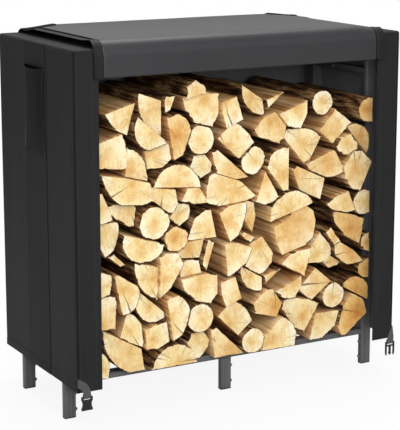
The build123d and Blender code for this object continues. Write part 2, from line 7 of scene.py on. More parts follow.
# %% Load the frame
import math
import random
from functools import partial

import bmesh
import bpy
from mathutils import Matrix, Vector, noise


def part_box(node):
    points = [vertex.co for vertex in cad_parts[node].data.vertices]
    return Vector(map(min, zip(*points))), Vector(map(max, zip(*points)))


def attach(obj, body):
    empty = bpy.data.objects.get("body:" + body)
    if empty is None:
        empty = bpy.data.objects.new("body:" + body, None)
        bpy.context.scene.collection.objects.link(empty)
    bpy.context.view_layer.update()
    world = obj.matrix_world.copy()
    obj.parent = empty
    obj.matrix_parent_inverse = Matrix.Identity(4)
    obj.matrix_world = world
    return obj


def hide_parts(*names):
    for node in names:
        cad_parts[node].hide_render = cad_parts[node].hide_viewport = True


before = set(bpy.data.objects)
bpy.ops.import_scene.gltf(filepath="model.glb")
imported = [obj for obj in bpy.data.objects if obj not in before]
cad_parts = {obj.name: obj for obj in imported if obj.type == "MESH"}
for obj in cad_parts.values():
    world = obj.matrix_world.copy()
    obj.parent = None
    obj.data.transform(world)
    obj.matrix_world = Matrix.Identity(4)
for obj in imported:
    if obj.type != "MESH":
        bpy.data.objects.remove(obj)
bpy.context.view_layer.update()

print("nodes:", len(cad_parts))

# %% [markdown]
# ## Camera
# The picture was taken from the front left, a little above the roof. Its upright edges stay upright, as a
# lens that slides down gives. A large slide would push the store out of the other views, so a small one is
# used here and the camera tilts down for the rest.

# %% Camera
PICTURE_LONG_PX = 430
FOCAL_PX = 1487.0
SENSOR_MM = 36
CAMERA_AT = (-2.404, -4.317, 1.687)
YAW_DEG, PITCH_DEG = 29.08, 11.10
LENS_SLIDE = -0.10


def put(name, data):
    """A new object in the scene, at the origin."""
    piece = bpy.data.objects.new(name, data)
    bpy.context.collection.objects.link(piece)
    return piece


lens = bpy.data.cameras.new("front_left_camera")
lens.sensor_width = SENSOR_MM
lens.lens = FOCAL_PX * SENSOR_MM / PICTURE_LONG_PX
lens.shift_y = LENS_SLIDE
camera = put("front_left_camera", lens)
camera.location = CAMERA_AT
camera.rotation_euler = (math.radians(90 - PITCH_DEG), 0, math.radians(-YAW_DEG))
bpy.context.scene.camera = camera
bpy.context.scene.view_settings.view_transform = "Standard"
print("lens mm:", round(lens.lens, 1))

# %% [markdown]
# ## Finishes from nodes
# Every finish below is a small node tree. Writing each node out takes many lines, so one helper adds a
# node with its settings, its values and its links. Colours are written as they look on a screen and
# turned to linear light once.

# %% Node helpers
def tint(code):
    """A screen colour such as 4a4a4a as linear light."""
    parts = [int(code[k:k + 2], 16) / 255 for k in (0, 2, 4)]
    return (*[c / 12.92 if c <= 0.04045 else ((c + 0.055) / 1.055) ** 2.4 for c in parts], 1)


def shader_of(finish):
    return finish.node_tree.nodes["Principled BSDF"]


def new_finish(name, **values):
    """A material, with its shader's own sockets set."""
    finish = bpy.data.materials.new(name)
    finish.use_nodes = True
    for socket, value in values.items():
        shader_of(finish).inputs[socket.replace("_", " ")].default_value = value
    return finish


def add_node(tree, kind, inputs=None, **settings):
    """A node of a tree: settings are its properties, inputs its values or the sockets that feed it."""
    node = tree.nodes.new(kind)
    for name, value in settings.items():
        setattr(node, name, value)
    for socket, value in (inputs or {}).items():
        if isinstance(value, bpy.types.NodeSocket):
            tree.links.new(value, node.inputs[socket])
        else:
            node.inputs[socket].default_value = value
    return node


def add(finish, kind, inputs=None, **settings):
    """A shader node of a finish."""
    return add_node(finish.node_tree, "ShaderNode" + kind, inputs, **settings)


def maths(finish, operation, first, second=0.0, third=0.0):
    return add(finish, "Math", {0: first, 1: second, 2: third}, operation=operation).outputs[0]


def places(finish, operation, first, second=(0, 0, 0)):
    """A sum on places, which gives a place, or a number for a length or a dot product."""
    node = add(finish, "VectorMath", {0: first, 1: second}, operation=operation)
    return node.outputs["Value" if operation in ("LENGTH", "DOT_PRODUCT") else "Vector"]


def spread(finish, value, low, high, start=0.0, end=1.0):
    """A value between two limits, turned to a share between two others."""
    limits = {"Value": value, "From Min": low, "From Max": high, "To Min": start, "To Max": end}
    return add(finish, "MapRange", limits).outputs[0]


# %% Pattern helpers
def own_place(finish):
    """Places in the piece's own coordinates."""
    return add(finish, "TexCoord").outputs["Object"]


def speckle(finish, place, scale, detail=2.0, roughness=0.5):
    """Noise of a given fineness."""
    look = {"Vector": place, "Scale": scale, "Detail": detail, "Roughness": roughness}
    return add(finish, "TexNoise", look).outputs[0]


def ramp(finish, share, stops):
    """Colours along a share from 0 to 1."""
    node = add(finish, "ValToRGB", {"Fac": share})
    while len(node.color_ramp.elements) < len(stops):
        node.color_ramp.elements.new(0.5)
    for element, (position, code) in zip(node.color_ramp.elements, stops):
        element.position = position
        element.color = tint(code)
    return node.outputs["Color"]


def mix(finish, share, first, second, blend="MIX"):
    """Two colours mixed by a share."""
    return add(finish, "Mix", {0: share, 6: first, 7: second}, data_type="RGBA", blend_type=blend).outputs[2]


def shaded(finish, colour, share, pattern, stops):
    """A colour darkened, by a share, with the colours of a pattern."""
    return mix(finish, share, colour, ramp(finish, pattern, stops), "MULTIPLY")


def coat(finish, colour, height=None, strength=0.0, distance=0.0):
    """Links a colour and, where there is one, a relief to a finish's shader."""
    finish.node_tree.links.new(colour, shader_of(finish).inputs["Base Color"])
    if height is not None:
        relief = add(finish, "Bump", {"Height": height, "Strength": strength, "Distance": distance})
        finish.node_tree.links.new(relief.outputs["Normal"], shader_of(finish).inputs["Normal"])


# %% [markdown]
# ## Stage and light
# The store stands on a plain white floor in soft light. Two broad lamps light it from the front and from
# above, and a low one behind lights the back without touching the roof. The floor and the sky show as
# white to the camera, and the floor keeps a little of its own shade so that the legs stand in a soft shadow.

# %% Stage
def white_share(finish):
    """1 for rays that look at the background, 0 for rays that carry light."""
    rays = add(finish, "LightPath")
    return maths(finish, "MAXIMUM", rays.outputs["Is Camera Ray"], rays.outputs["Is Transmission Ray"])


FLOOR_HALF = 20.0
FLOOR_SHADE, SHADE_NEAR, SHADE_FAR = 0.10, 0.6, 1.5
WHITE = (1, 1, 1, 1)
floor_corners = [(x * FLOOR_HALF, y * FLOOR_HALF, 0) for x, y in ((-1, -1), (1, -1), (1, 1), (-1, 1))]
floor_mesh = bpy.data.meshes.new("floor")
floor_mesh.from_pydata(floor_corners, [], [(0, 1, 2, 3)])
floor_finish = new_finish("floor_white", Base_Color=(0.6, 0.6, 0.6, 1), Roughness=0.9)
floor_glow = add(floor_finish, "Emission", {"Color": WHITE, "Strength": 1.0})
floor_far = places(floor_finish, "LENGTH", own_place(floor_finish))
floor_keep = spread(floor_finish, floor_far, SHADE_NEAR, SHADE_FAR, 1 - FLOOR_SHADE, 1.0)
floor_lift = maths(floor_finish, "MULTIPLY", white_share(floor_finish), floor_keep)
floor_mix = add(floor_finish, "MixShader",
                {0: floor_lift, 1: shader_of(floor_finish).outputs[0], 2: floor_glow.outputs[0]})
floor_out = floor_finish.node_tree.nodes["Material Output"]
floor_finish.node_tree.links.new(floor_mix.outputs[0], floor_out.inputs["Surface"])
floor_mesh.materials.append(floor_finish)
floor = put("floor", floor_mesh)

SKY_LIGHT = 0.50
sky = bpy.data.worlds.new("sky")
sky.use_nodes = True
sky_back = sky.node_tree.nodes["Background"]
sky_back.inputs["Color"].default_value = WHITE
sky.node_tree.links.new(spread(sky, white_share(sky), 0.0, 1.0, SKY_LIGHT, 1.0), sky_back.inputs["Strength"])
bpy.context.scene.world = sky
print("floor m:", 2 * FLOOR_HALF)

# %% Lamps
LAMPS = {  # where it stands, where it points, its size in metres, its watts
    "front_lamp": ((-1.5, -4.8, 2.7), (0, 0, 0.6), 2.8, 196),
    "top_lamp": ((0.2, 0.5, 4.2), (0, 0, 1.0), 3.2, 215),
    "back_lamp": ((2.2, 4.2, 0.55), (0, 0, 0.55), 1.2, 110),
}
for name, (at, towards, size, watts) in LAMPS.items():
    light = bpy.data.lights.new(name, "AREA")
    light.size = size
    light.energy = watts
    lamp = put(name, light)
    lamp.location = at
    lamp.rotation_euler = (Vector(towards) - Vector(at)).to_track_quat("-Z", "Y").to_euler()
print("lamps:", list(LAMPS))

# %% [markdown]
# ## Steel
# The tubes are powder coated in dark grey: slightly rough, with a fine orange-peel skin, a little dust and
# faint lines along the way each tube was drawn. The tubes' shape is right as it is, so they only get this
# finish, one for each way that a tube runs. Caps and buckles are moulded in black.

# %% Steel, caps and buckles
def powder_coat(name, stretch):
    """Powder coated steel, with faint draw lines along the tube."""
    finish = new_finish(name, Roughness=0.45, Specular_IOR_Level=0.4)
    place = own_place(finish)
    grain = speckle(finish, place, 900.0)
    lines = speckle(finish, places(finish, "MULTIPLY", place, stretch), 130.0, 1.0)
    colour = ramp(finish, speckle(finish, place, 9.0, 5.0), [(0.3, "58585a"), (0.7, "626264")])
    colour = shaded(finish, colour, 0.6, grain, [(0.35, "d8d8d8"), (0.65, "ffffff")])
    colour = shaded(finish, colour, 0.6, lines, [(0.38, "c4c4c4"), (0.56, "ffffff")])
    coat(finish, colour, grain, 0.25, 0.0004)
    return finish


steel_up = powder_coat("powder_coat_up", (1, 1, 0.02))
steel_across = powder_coat("powder_coat_across", (0.02, 1, 1))
steel_deep = powder_coat("powder_coat_deep", (1, 0.02, 1))

moulded = new_finish("moulded_black", Roughness=0.38, Specular_IOR_Level=0.35)
moulded_grain = speckle(moulded, own_place(moulded), 1400.0, 1.0)
moulded_colour = ramp(moulded, moulded_grain, [(0.3, "121212"), (0.7, "19191a")])
coat(moulded, moulded_colour, moulded_grain, 0.2, 0.0002)

STEEL_NODES = [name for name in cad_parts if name.endswith(("_post", "_leg", "_rail", "_bar"))]
for name in STEEL_NODES:
    upright = name.endswith(("_post", "_leg"))
    level = steel_deep if name.startswith(("left_", "right_")) else steel_across
    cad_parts[name].material_slots[0].material = steel_up if upright else level
for name in ("foot_caps", "buckle_socket", "buckle_prongs"):
    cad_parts[name].material_slots[0].material = moulded
print("steel pieces:", len(STEEL_NODES))

# %% [markdown]
# ## Woven cloth
# The cover is a coated plain weave. Over and under threads make a tiny chequer, which two crossed waves
# give. Their size is read from the piece's own UV map, which holds the flat cut in metres, so the threads
# turn with the cloth round every bend. Broad noise adds the faint unevenness of dark cloth in use.

# %% Cloth finishes
def woven(name, dark, pale, thread, roughness, shine, sheen, sheen_roughness):
    """A plain weave of that thread width, in metres, between two greys."""
    finish = new_finish(name, Roughness=roughness, Specular_IOR_Level=shine, Sheen_Weight=sheen,
                        Sheen_Roughness=sheen_roughness)
    cut = add(finish, "UVMap", uv_map="cut").outputs[0]
    turns = add(finish, "SeparateXYZ", {0: places(finish, "MULTIPLY", cut, (math.pi / thread,) * 3)}).outputs
    warp, weft = maths(finish, "SINE", turns["X"]), maths(finish, "SINE", turns["Y"])
    weave = maths(finish, "MULTIPLY_ADD", maths(finish, "MULTIPLY", warp, weft), 0.5, 0.5)
    place = own_place(finish)
    fuzz = speckle(finish, place, 420.0)
    colour = ramp(finish, speckle(finish, place, 3.5, 6.0, 0.6), [(0.3, dark), (0.7, pale)])
    colour = shaded(finish, colour, 0.8, weave, [(0.0, "dcdcdc"), (1.0, "ffffff")])
    colour = shaded(finish, colour, 0.8, fuzz, [(0.3, "e4e4e4"), (0.7, "ffffff")])
    coat(finish, colour, maths(finish, "ADD", weave, fuzz), 0.35, thread * 0.5)
    return finish


CLOTHS = {  # two greys, the thread's width, roughness, shine, sheen, the sheen's roughness
    "cover_cloth": ("272728", "2b2b2c", 0.0007, 0.55, 0.06, 0.008, 0.4),
    "flap_cloth": ("363638", "3b3b3d", 0.0007, 0.38, 0.19, 0.01, 0.4),
    "band_cloth": ("252526", "2a2a2b", 0.0008, 0.6, 0.06, 0.008, 0.4),
    "handle_cloth": ("1b1b1c", "1f1f20", 0.0008, 0.6, 0.05, 0.008, 0.4),
    # Near-black cloth that paints shade: in the hand slots and under the flap binding's open side.
    "painted_shade_lining": ("060606", "090909", 0.0008, 0.8, 0.02, 0.0, 0.4),
    "binding_cloth": ("212122", "252526", 0.0008, 0.5, 0.1, 0.01, 0.4),
    # Dark cloth that paints shade: in the flap binding's grooves, beside the front corners and along the
    # bands' edges.
    "painted_shade_tape": ("1c1c1d", "202021", 0.0008, 0.62, 0.05, 0.008, 0.4),
    "lining_cloth": ("767678", "808082", 0.0007, 0.55, 0.2, 0.02, 0.4),
    # Real webbing on the straps; on the handles' back edges the same cloth paints a highlight.
    "webbing": ("4c4c4d", "565657", 0.0013, 0.6, 0.2, 0.05, 0.4),
    "hook_tape": ("141414", "1c1c1c", 0.0011, 0.75, 0.1, 0.02, 0.5),
}
(cover_cloth, flap_cloth, band_cloth, handle_cloth, painted_shade_lining, binding_cloth, painted_shade_tape, lining_cloth,
 webbing, hook_tape) = [woven(name, *row) for name, row in CLOTHS.items()]

sewing_thread = new_finish("sewing_thread", Roughness=0.55, Sheen_Weight=0.2)
thread_twist = speckle(sewing_thread, own_place(sewing_thread), 1500.0)
coat(sewing_thread, ramp(sewing_thread, thread_twist, [(0.3, "2a2a2b"), (0.7, "3c3c3d")]))
print("cloths:", len(CLOTHS))

# %% [markdown]
# ## How the cover is cut
# The cover is sewn from flat panels, and pulled over the frame it rounds softly at every edge. Each panel
# is a grid of its own flat cut. A rule moves each grid point onto the rounded box and then lifts or sinks
# it by the panel's welts, hems and slack. Grid lines stand close together only where a seam needs them.

# %% Grid and box rules
CLOTH_T = 0.0012
CORNER_R = 0.007
WELT_LINES = (0.0025, 0.005, 0.0065, 0.009, 0.0115, 0.0145)
HEM_LINES = (0.001, 0.0175, 0.0195, 0.0215, 0.0235)

box_low, box_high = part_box("left_panel")
half_w, half_d = -box_low.x, box_high.y
cover_w = 2 * half_w
hem_z, top_z = box_low.z, box_high.z
side_d, side_h = 2 * half_d, top_z - hem_z
print("cover mm:", [round(1000 * size) for size in (cover_w, side_d, side_h)])


def grid_lines(length, pitch, extra=()):
    """Lines about a pitch apart, with extra ones where a fold or a seam needs them."""
    count = max(1, round(length / pitch))
    extra = [x for x in extra if 0 < x < length]
    even = [length * k / count for k in range(count + 1)]
    kept = [x for x in even if x in (0, length) or all(abs(x - e) > 0.001 for e in extra)]
    return sorted(kept + extra)


def both_ends(length, lines):
    return [*lines, *(length - x for x in lines)]


def rounded(point):
    """A point of the cover's box moved onto its rounded edges, and the way out there."""
    reach_x, reach_y = half_w - CORNER_R, half_d - CORNER_R
    core = Vector((min(max(point.x, -reach_x), reach_x), min(max(point.y, -reach_y), reach_y),
                   min(point.z, top_z - CORNER_R)))
    out = (point - core).normalized()
    return core + CORNER_R * out, out


def ease(low, high, value):
    """A smooth step from 0 to 1."""
    share = min(max((value - low) / (high - low), 0), 1)
    return share * share * (3 - 2 * share)


# %% Welts, hems and slack
def furrow(centre, half, value):
    """A smooth dip: 1 at its centre, 0 past its two sides."""
    return ease(centre - half, centre, value) - ease(centre, centre + half, value)


WELT_SEAM, WELT_RISE, WELT_DIP = 0.0105, 0.0013, 0.0007
HEM_SEAM, HEM_RISE, HEM_DIP = 0.0185, 0.0011, 0.0009


def welt(from_seam):
    """The raised seam allowance along a sewn edge, and the dip of its stitching."""
    return WELT_RISE * (1 - ease(0.005, 0.009, from_seam)) - WELT_DIP * furrow(WELT_SEAM, 0.004, from_seam)


def hem(from_edge):
    """A hem folded over twice, and the dip of its stitching."""
    return HEM_RISE * (1 - ease(0.0215, 0.0235, from_edge)) - HEM_DIP * furrow(HEM_SEAM, 0.002, from_edge)


def slack(across, along, wide, tall, height, seed):
    """Soft unevenness of cloth that hangs free, with folds of a given width and height."""
    broad = noise.noise(Vector((across / wide, along / tall, seed)))
    fine = noise.noise(Vector((3.1 * across / wide, 3.1 * along / tall, seed + 7.5)))
    return height * (broad + 0.35 * fine)


# %% Cloth on a grid
def other_finish(piece, finish, chosen):
    """Gives the faces that a rule picks from the flat cut another finish."""
    piece.data.materials.append(finish)
    slot = len(piece.data.materials) - 1
    cut = piece.data.uv_layers["cut"].data
    for face in piece.data.polygons:
        spots = [cut[k].uv for k in face.loop_indices]
        if chosen(sum(s.x for s in spots) / len(spots), sum(s.y for s in spots) / len(spots)):
            face.material_index = slot


def sheet_mesh(name, across, along, point, finish, thickness=CLOTH_T, offset=-1, inner=None):
    """Cloth on a grid: point(a, b) gives its place, and its UV map holds the flat cut."""
    mesh = bpy.data.meshes.new(name)
    wide = len(across)
    corners = [(row * wide + k, row * wide + k + 1, (row + 1) * wide + k + 1, (row + 1) * wide + k)
               for row in range(len(along) - 1) for k in range(wide - 1)]
    mesh.from_pydata([point(a, b) for b in along for a in across], [], corners)
    cut = mesh.uv_layers.new(name="cut")
    for loop in mesh.loops:
        cut.data[loop.index].uv = (across[loop.vertex_index % wide], along[loop.vertex_index // wide])
    mesh.shade_smooth()
    mesh.materials.append(finish)
    if inner:
        mesh.materials.append(inner)
    piece = put(name, mesh)
    wall = piece.modifiers.new("thickness", "SOLIDIFY")
    wall.thickness = thickness
    wall.offset = offset
    wall.material_offset = 1 if inner else 0
    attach(piece, "root")
    return piece


# %% [markdown]
# ## Cover panels
# Sides, back, roof, front strips and the valance over the opening. Each rule below gives a place on the
# flat cut its point on the box, and says how far that place is from a seam, from a hem and from the
# taut edges where slack dies away.

# %% Panel rules
ROOF_SAG = 0.006
strip_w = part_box("left_front_strip")[1].x + half_w
valance_h = top_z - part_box("front_valance")[0].z


def side_point(side, a, b, lift=0.0):
    """A place on a side panel: a runs from its left edge as seen from outside, b up from the hem."""
    y = half_d - a if side < 0 else a - half_d
    base, out = rounded(Vector((side * half_w, y, hem_z + b)))
    seam = min(a, side_d - a, side_h - b)
    loose = ease(0.01, 0.12, seam)
    folds = slack(a, b, wide=0.16, tall=0.75, height=0.0022, seed=3.0 + side) - 0.0012
    return base + out * (welt(seam) + hem(b) + loose * folds + lift)


def back_point(a, b, lift=0.0):
    base, out = rounded(Vector((half_w - a, half_d, hem_z + b)))
    seam = min(a, cover_w - a, side_h - b)
    loose = ease(0.01, 0.15, seam)
    folds = slack(a, b, wide=0.22, tall=0.8, height=0.003, seed=11.0) - 0.002
    return base + out * (welt(seam) + hem(b) + loose * folds + lift)


def roof_point(a, b):
    base, out = rounded(Vector((a - half_w, b - half_d, top_z)))
    seam = min(a, cover_w - a, b, side_d - b)
    sag = ROOF_SAG * ease(0.03, 0.3, min(a, cover_w - a)) * ease(0.0, 0.2, min(b, side_d - b))
    return base + out * (welt(seam) - sag)


def strip_point(side, a, b, lift=0.0):
    """A place on a front strip: a runs from the corner towards the opening, either way."""
    a = abs(a)
    base, out = rounded(Vector((side * (half_w - a), -half_d, hem_z + b)))
    seam = min(a, side_h - b)
    loose = ease(0.02, 0.06, seam)
    folds = slack(a, b, wide=0.09, tall=0.5, height=0.0012, seed=21.0 + side)
    return base + out * (welt(seam) + max(hem(b), hem(strip_w - a)) + loose * folds + lift)


def valance_point(a, b):
    base, out = rounded(Vector((a + strip_w - half_w, -half_d, top_z - valance_h + b)))
    return base + out * (welt(valance_h - b) + hem(b))


# %% Sew the panels
SIDES = ((-1, "left"), (1, "right"))
# Width of the painted shade beside each front corner of the strips.
CORNER_SHADE_W = 0.0095


def panel(node, name, across, along, rule, inner=lining_cloth):
    """A panel of the cover in place of its solid, stretched over the frame's top bars."""
    piece = sheet_mesh(name, across, along, rule, cover_cloth, inner=inner)
    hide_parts(node)
    return piece


rise = grid_lines(side_h, 0.02, [*HEM_LINES, *(side_h - x for x in WELT_LINES)])
side_across = grid_lines(side_d, 0.016, both_ends(side_d, WELT_LINES))
wide_across = grid_lines(cover_w, 0.02, both_ends(cover_w, WELT_LINES))
strip_across = grid_lines(strip_w, 0.012, [*WELT_LINES, *(strip_w - x for x in HEM_LINES)])
for side, word in SIDES:
    panel(word + "_panel", word + "_side", side_across, rise, partial(side_point, side))
    facing = strip_across if side < 0 else [-x for x in reversed(strip_across)]
    strip = panel(word + "_front_strip", word + "_strip", facing, rise, partial(strip_point, side))
    # Dark cloth beside each front corner paints shade along the corner.
    other_finish(strip, painted_shade_tape, lambda a, b: abs(a) < CORNER_SHADE_W)
panel("back_panel", "back", wide_across, rise, back_point)
panel("roof_panel", "roof", wide_across, side_across, roof_point)
panel("front_valance", "valance", grid_lines(2 * (half_w - strip_w), 0.02),
      grid_lines(valance_h, 0.012, [*HEM_LINES, *(valance_h - x for x in WELT_LINES)]), valance_point, None)
print("side cut mm:", round(side_d * 1000), round(side_h * 1000))

# %% [markdown]
# ## Front flap
# The flap is the front curtain, turned up from the valance, carried over the roof and left to hang behind.
# Its line from the seam to the free edge is straight runs and round bends, so a rule gives the point at
# any length along it. In front it rounds the roof's edge, dips in a shallow crease and hangs straight.

# %% The flap's line
flap_low, flap_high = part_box("front_flap")
FLAP_BEND_R = 0.044
FLAP_SEAM_H = 0.014
FRONT_GAP = 0.0013
BROW_R, CREASE_R, CHIN_R = 0.030, 0.026, 0.036
BROW_DEG, CHIN_DEG = 10, 30
flap_half, flap_y = flap_high.x, flap_high.y
flap_w = 2 * flap_half
flap_top = flap_high.z - 0.001
valance_low = top_z - valance_h
seam_y = -half_d - FRONT_GAP


def on_circle(centre, radius, degrees):
    turn = math.radians(degrees)
    return (centre[0] + radius * math.cos(turn), centre[1] + radius * math.sin(turn))


chin_drop = ((CHIN_R + CREASE_R) * math.sin(math.radians(CHIN_DEG))
             - (CREASE_R + BROW_R) * math.sin(math.radians(BROW_DEG)))
chin = (CHIN_R - flap_y, flap_top - BROW_R - chin_drop)
crease = on_circle(chin, CHIN_R + CREASE_R, 180 - CHIN_DEG)
brow = on_circle(crease, CREASE_R + BROW_R, -BROW_DEG)
FLAP_RUNS = [
    ("straight", (seam_y, valance_low + FLAP_SEAM_H), (0, -1), FLAP_SEAM_H),
    ("turn", ((seam_y - flap_y) / 2, valance_low), (flap_y + seam_y) / 2, 0, -180),
    ("straight", (-flap_y, valance_low), (0, 1), chin[1] - valance_low),
    ("turn", chin, CHIN_R, 180, 180 - CHIN_DEG),
    ("turn", crease, CREASE_R, -CHIN_DEG, -BROW_DEG),
    ("turn", brow, BROW_R, 180 - BROW_DEG, 90),
    ("straight", (brow[0], flap_top), (1, 0), flap_y - FLAP_BEND_R - brow[0]),
    ("turn", (flap_y - FLAP_BEND_R, flap_top - FLAP_BEND_R), FLAP_BEND_R, 90, 0),
    ("straight", (flap_y, flap_top - FLAP_BEND_R), (0, -1), flap_top - FLAP_BEND_R - flap_low.z),
]
flap_lengths = [run[3] if run[0] == "straight" else run[2] * math.radians(abs(run[4] - run[3]))
                for run in FLAP_RUNS]
flap_l = sum(flap_lengths)
fold_end, top_start, top_end, bend_end = (sum(flap_lengths[:count]) for count in (2, 6, 7, 8))


def flap_line(length):
    """The flap's middle line at a length from its seam: its place and the way out of it."""
    for run, run_l in zip(FLAP_RUNS, flap_lengths):
        if length <= run_l or run is FLAP_RUNS[-1]:
            break
        length -= run_l
    if run[0] == "straight":
        (y, z), (dy, dz) = run[1], run[2]
        return Vector((0, y + dy * length, z + dz * length)), Vector((0, -dz, dy))
    (y, z), radius, start, end = run[1:]
    turn = math.radians(start + (end - start) * length / run_l)
    out = Vector((0, math.cos(turn), math.sin(turn)))
    return Vector((0, y, z)) + out * radius, out if end < start else -out


print("flap length mm:", round(flap_l * 1000))

# %% [markdown]
# A binding of darker cloth with grooves runs along both side edges, and painted shade darkens the grooves.
# Over the roof it sinks a little, and its inner side stands open, with its shadow painted as a near-black
# line.
# The tabs draw the two back corners down to the roof, and the right-hand edge has settled lower than the
# left-hand one. Each of these is a share from 0 to 1 of its own depth, so that they add up without steps.

# %% The flap's edges
FLAP_CUT_T = 0.0016
EDGE_LINES = (0.001, 0.003, 0.006, 0.010, 0.012, 0.014, 0.018, 0.022,
              0.0255, 0.0275, 0.0295, 0.0325, 0.035, 0.039)
BINDING_W, BINDING_RISE = 0.0275, 0.0024
GROOVE_AT, GROOVE_HALF, GROOVE_DIP = 0.012, 0.002, 0.0014
# The inner groove's range below and the open groove's range after it mark painted shade: a dark band in the
# groove and a near-black painted shadow under the binding's open side over the roof.
INNER_GROOVE_SHADE, INNER_DIP = (BINDING_W, 0.0325), 0.0016
OPEN_SIDE_SHADOW = (0.0255, 0.0355)
EDGE_DROP = 0.0055
CORNER_PULL = 0.012
RIGHT_SETTLE = 0.011
FLAP_SAG = 0.004


def from_side(a):
    """How far a place on the flap lies from its nearer side edge."""
    return min(a, flap_w - a)


def edge_hem(from_edge):
    """The flap's broad side hem: raised, with a groove in its middle and one beside it."""
    raised = BINDING_RISE * (1 - ease(0.0255, BINDING_W, from_edge))
    beside = INNER_DIP * (ease(0.0265, 0.0295, from_edge) - ease(0.0310, 0.035, from_edge))
    return raised - GROOVE_DIP * furrow(GROOVE_AT, GROOVE_HALF, from_edge) - beside


def over_roof(b):
    """1 where the flap lies over the roof, 0 where it hangs in front and behind."""
    return ease(top_start - 0.02, top_start + 0.06, b) - ease(top_end - 0.06, top_end + 0.02, b)


def corner_pull(from_edge, b):
    """1 at the flap's back corners, where the tabs draw it down to the roof."""
    along = ease(top_end - 0.10, top_end - 0.005, b) - ease(top_end, bend_end, b)
    return along * (1 - ease(0.0, 0.14, from_edge))


def settle(a, b):
    """1 along the flap's right-hand edge over the roof, which has settled lower than the left-hand one."""
    along = ease(top_start - 0.07, top_start + 0.01, b) - ease(top_end - 0.12, top_end - 0.02, b)
    return along * (1 - ease(0.0, 0.11, flap_w - a))


print("over the roof mm:", round(1000 * (top_end - top_start)))


# %% Flap
def flap_point(a, b, lift=0.0):
    base, out = flap_line(b)
    from_edge = from_side(a)
    on_top = ease(top_start + 0.02, top_start + 0.25, b) - ease(top_end - 0.12, top_end + 0.03, b)
    sag = FLAP_SAG * on_top * ease(0.02, 0.25, from_edge)
    folds = slack(a, b, wide=0.35, tall=0.3, height=0.0012, seed=41.0) * ease(0.05, 0.15, b)
    drop = EDGE_DROP * over_roof(b) * (1 - ease(BINDING_W, 0.035, from_edge))
    pull = CORNER_PULL * corner_pull(from_edge, b)
    height = edge_hem(from_edge) + hem(flap_l - b) - sag - drop - pull + folds + lift
    return base + Vector((a - flap_half, 0, -RIGHT_SETTLE * settle(a, b))) + out * height


def groove_shade(a, b):
    """Painted shade in the binding's two narrow grooves."""
    return abs(from_side(a) - GROOVE_AT) < GROOVE_HALF or INNER_GROOVE_SHADE[0] < from_side(a) < INNER_GROOVE_SHADE[1]


def open_side_shadow(a, b):
    """Painted shadow under the binding's open inner side over the roof, as a near-black band."""
    return over_roof(b) > 0.1 and OPEN_SIDE_SHADOW[0] < from_side(a) < OPEN_SIDE_SHADOW[1]


flap = sheet_mesh("front_flap_cloth", grid_lines(flap_w, 0.02, both_ends(flap_w, EDGE_LINES)),
                  grid_lines(flap_l, 0.007, [flap_l - x for x in HEM_LINES]), flap_point, flap_cloth,
                  FLAP_CUT_T, 0)
other_finish(flap, binding_cloth, lambda a, b: from_side(a) < BINDING_W)
# Painted shade darkens the binding's grooves, and a near-black painted shadow lines its open inner side over
# the roof.
other_finish(flap, painted_shade_tape, groove_shade)
other_finish(flap, painted_shade_lining, open_side_shadow)
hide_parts("front_flap")
print("flap triangles:", 2 * len(flap.data.polygons))

# %% [markdown]
# ## Fastening tabs
# At each back corner of the flap lies a dark piece of hook tape. It follows the back bend, so it uses the
# flap's own line, a little above it, and is drawn down with the corner. It swells a little inside its rim.

# %% Tabs
TAB_L, TAB_T, TAB_BEFORE, TAB_TURN = 0.115, 0.0028, 0.018, math.radians(40)
TAB_LIFT, TAB_SWELL, TAB_RIM = 0.0010, 0.0012, 0.004
TAB_LINES = (0.001, 0.002, TAB_RIM)
tab_start = top_end - TAB_BEFORE
tab_run = TAB_BEFORE + FLAP_BEND_R * TAB_TURN


def tab_point(start, a, b):
    """A place on a tab that starts that far across the flap."""
    base, out = flap_line(tab_start + b)
    swell = TAB_SWELL * ease(0.0, TAB_RIM, min(a, TAB_L - a, b, tab_run - b))
    pull = CORNER_PULL * corner_pull(from_side(start + a), tab_start + b)
    return base + Vector((start + a - flap_half, 0, 0)) + out * (TAB_LIFT + TAB_T / 2 + swell - pull)


tab_across = grid_lines(TAB_L, 0.008, both_ends(TAB_L, TAB_LINES))
tab_along = grid_lines(tab_run, 0.005, both_ends(tab_run, TAB_LINES))
tabs = [sheet_mesh(word + "_tab", tab_across, tab_along, partial(tab_point, start), hook_tape,
                   TAB_T, 0) for word, start in (("left", 0.0), ("right", flap_w - TAB_L))]
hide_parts("flap_tabs")
print("tab cut mm:", round(TAB_L * 1000), round(tab_run * 1000))

# %% [markdown]
# ## Side bands and handles
# A band is sewn up the middle of each side, with painted shade along both its edges. The handle is sewn to it
# along its lower end and at its upper corners. It bows out most at its top, where it gapes over the slot for
# the hand, whose shade is painted on a near-black sheet behind it, and it narrows a little between its ends.
# A pale strip along the upper part of each handle's back edge is a painted highlight.

# %% Band and handle rules
BAND_LINES = (0.001, 0.003, 0.005, 0.007)
BAND_T, HANDLE_T, SLOT_T = 0.001, 0.0022, 0.0006
BAND_SHADE_W, BAND_LIFT, BAND_DIP = 0.007, 0.0014, 0.0004
HANDLE_SEWN, HANDLE_LIFT, HANDLE_WAIST = 0.016, 0.0028, 0.10
HANDLE_BOW, HANDLE_DROOP, HANDLE_RIPPLE = 0.0165, 0.007, 0.0012
# Where the painted highlight lies on a handle's back edge.
HIGHLIGHT_EDGE_W, HIGHLIGHT_EDGE_LOW, HIGHLIGHT_EDGE_HIGH = 0.005, 0.08, 0.6
# Size and lift of the near-black sheet that paints the shade in the hand slot.
SLOT_H, SLOT_IN, SLOT_LIFT = 0.045, 0.006, 0.0021
band_low, band_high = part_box("left_band")
band_w = band_high.y - band_low.y
band_start = half_d - band_w / 2
handle_low, handle_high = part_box("left_handle")
handle_w, handle_h = handle_high.y - handle_low.y, handle_high.z - handle_low.z
slot_w = handle_w - 2 * SLOT_IN


def band_point(side, a, b):
    dip = BAND_DIP * (1 - ease(0.0, 0.003, min(a, band_w - a)))
    return side_point(side, band_start + a, b, BAND_LIFT - dip)


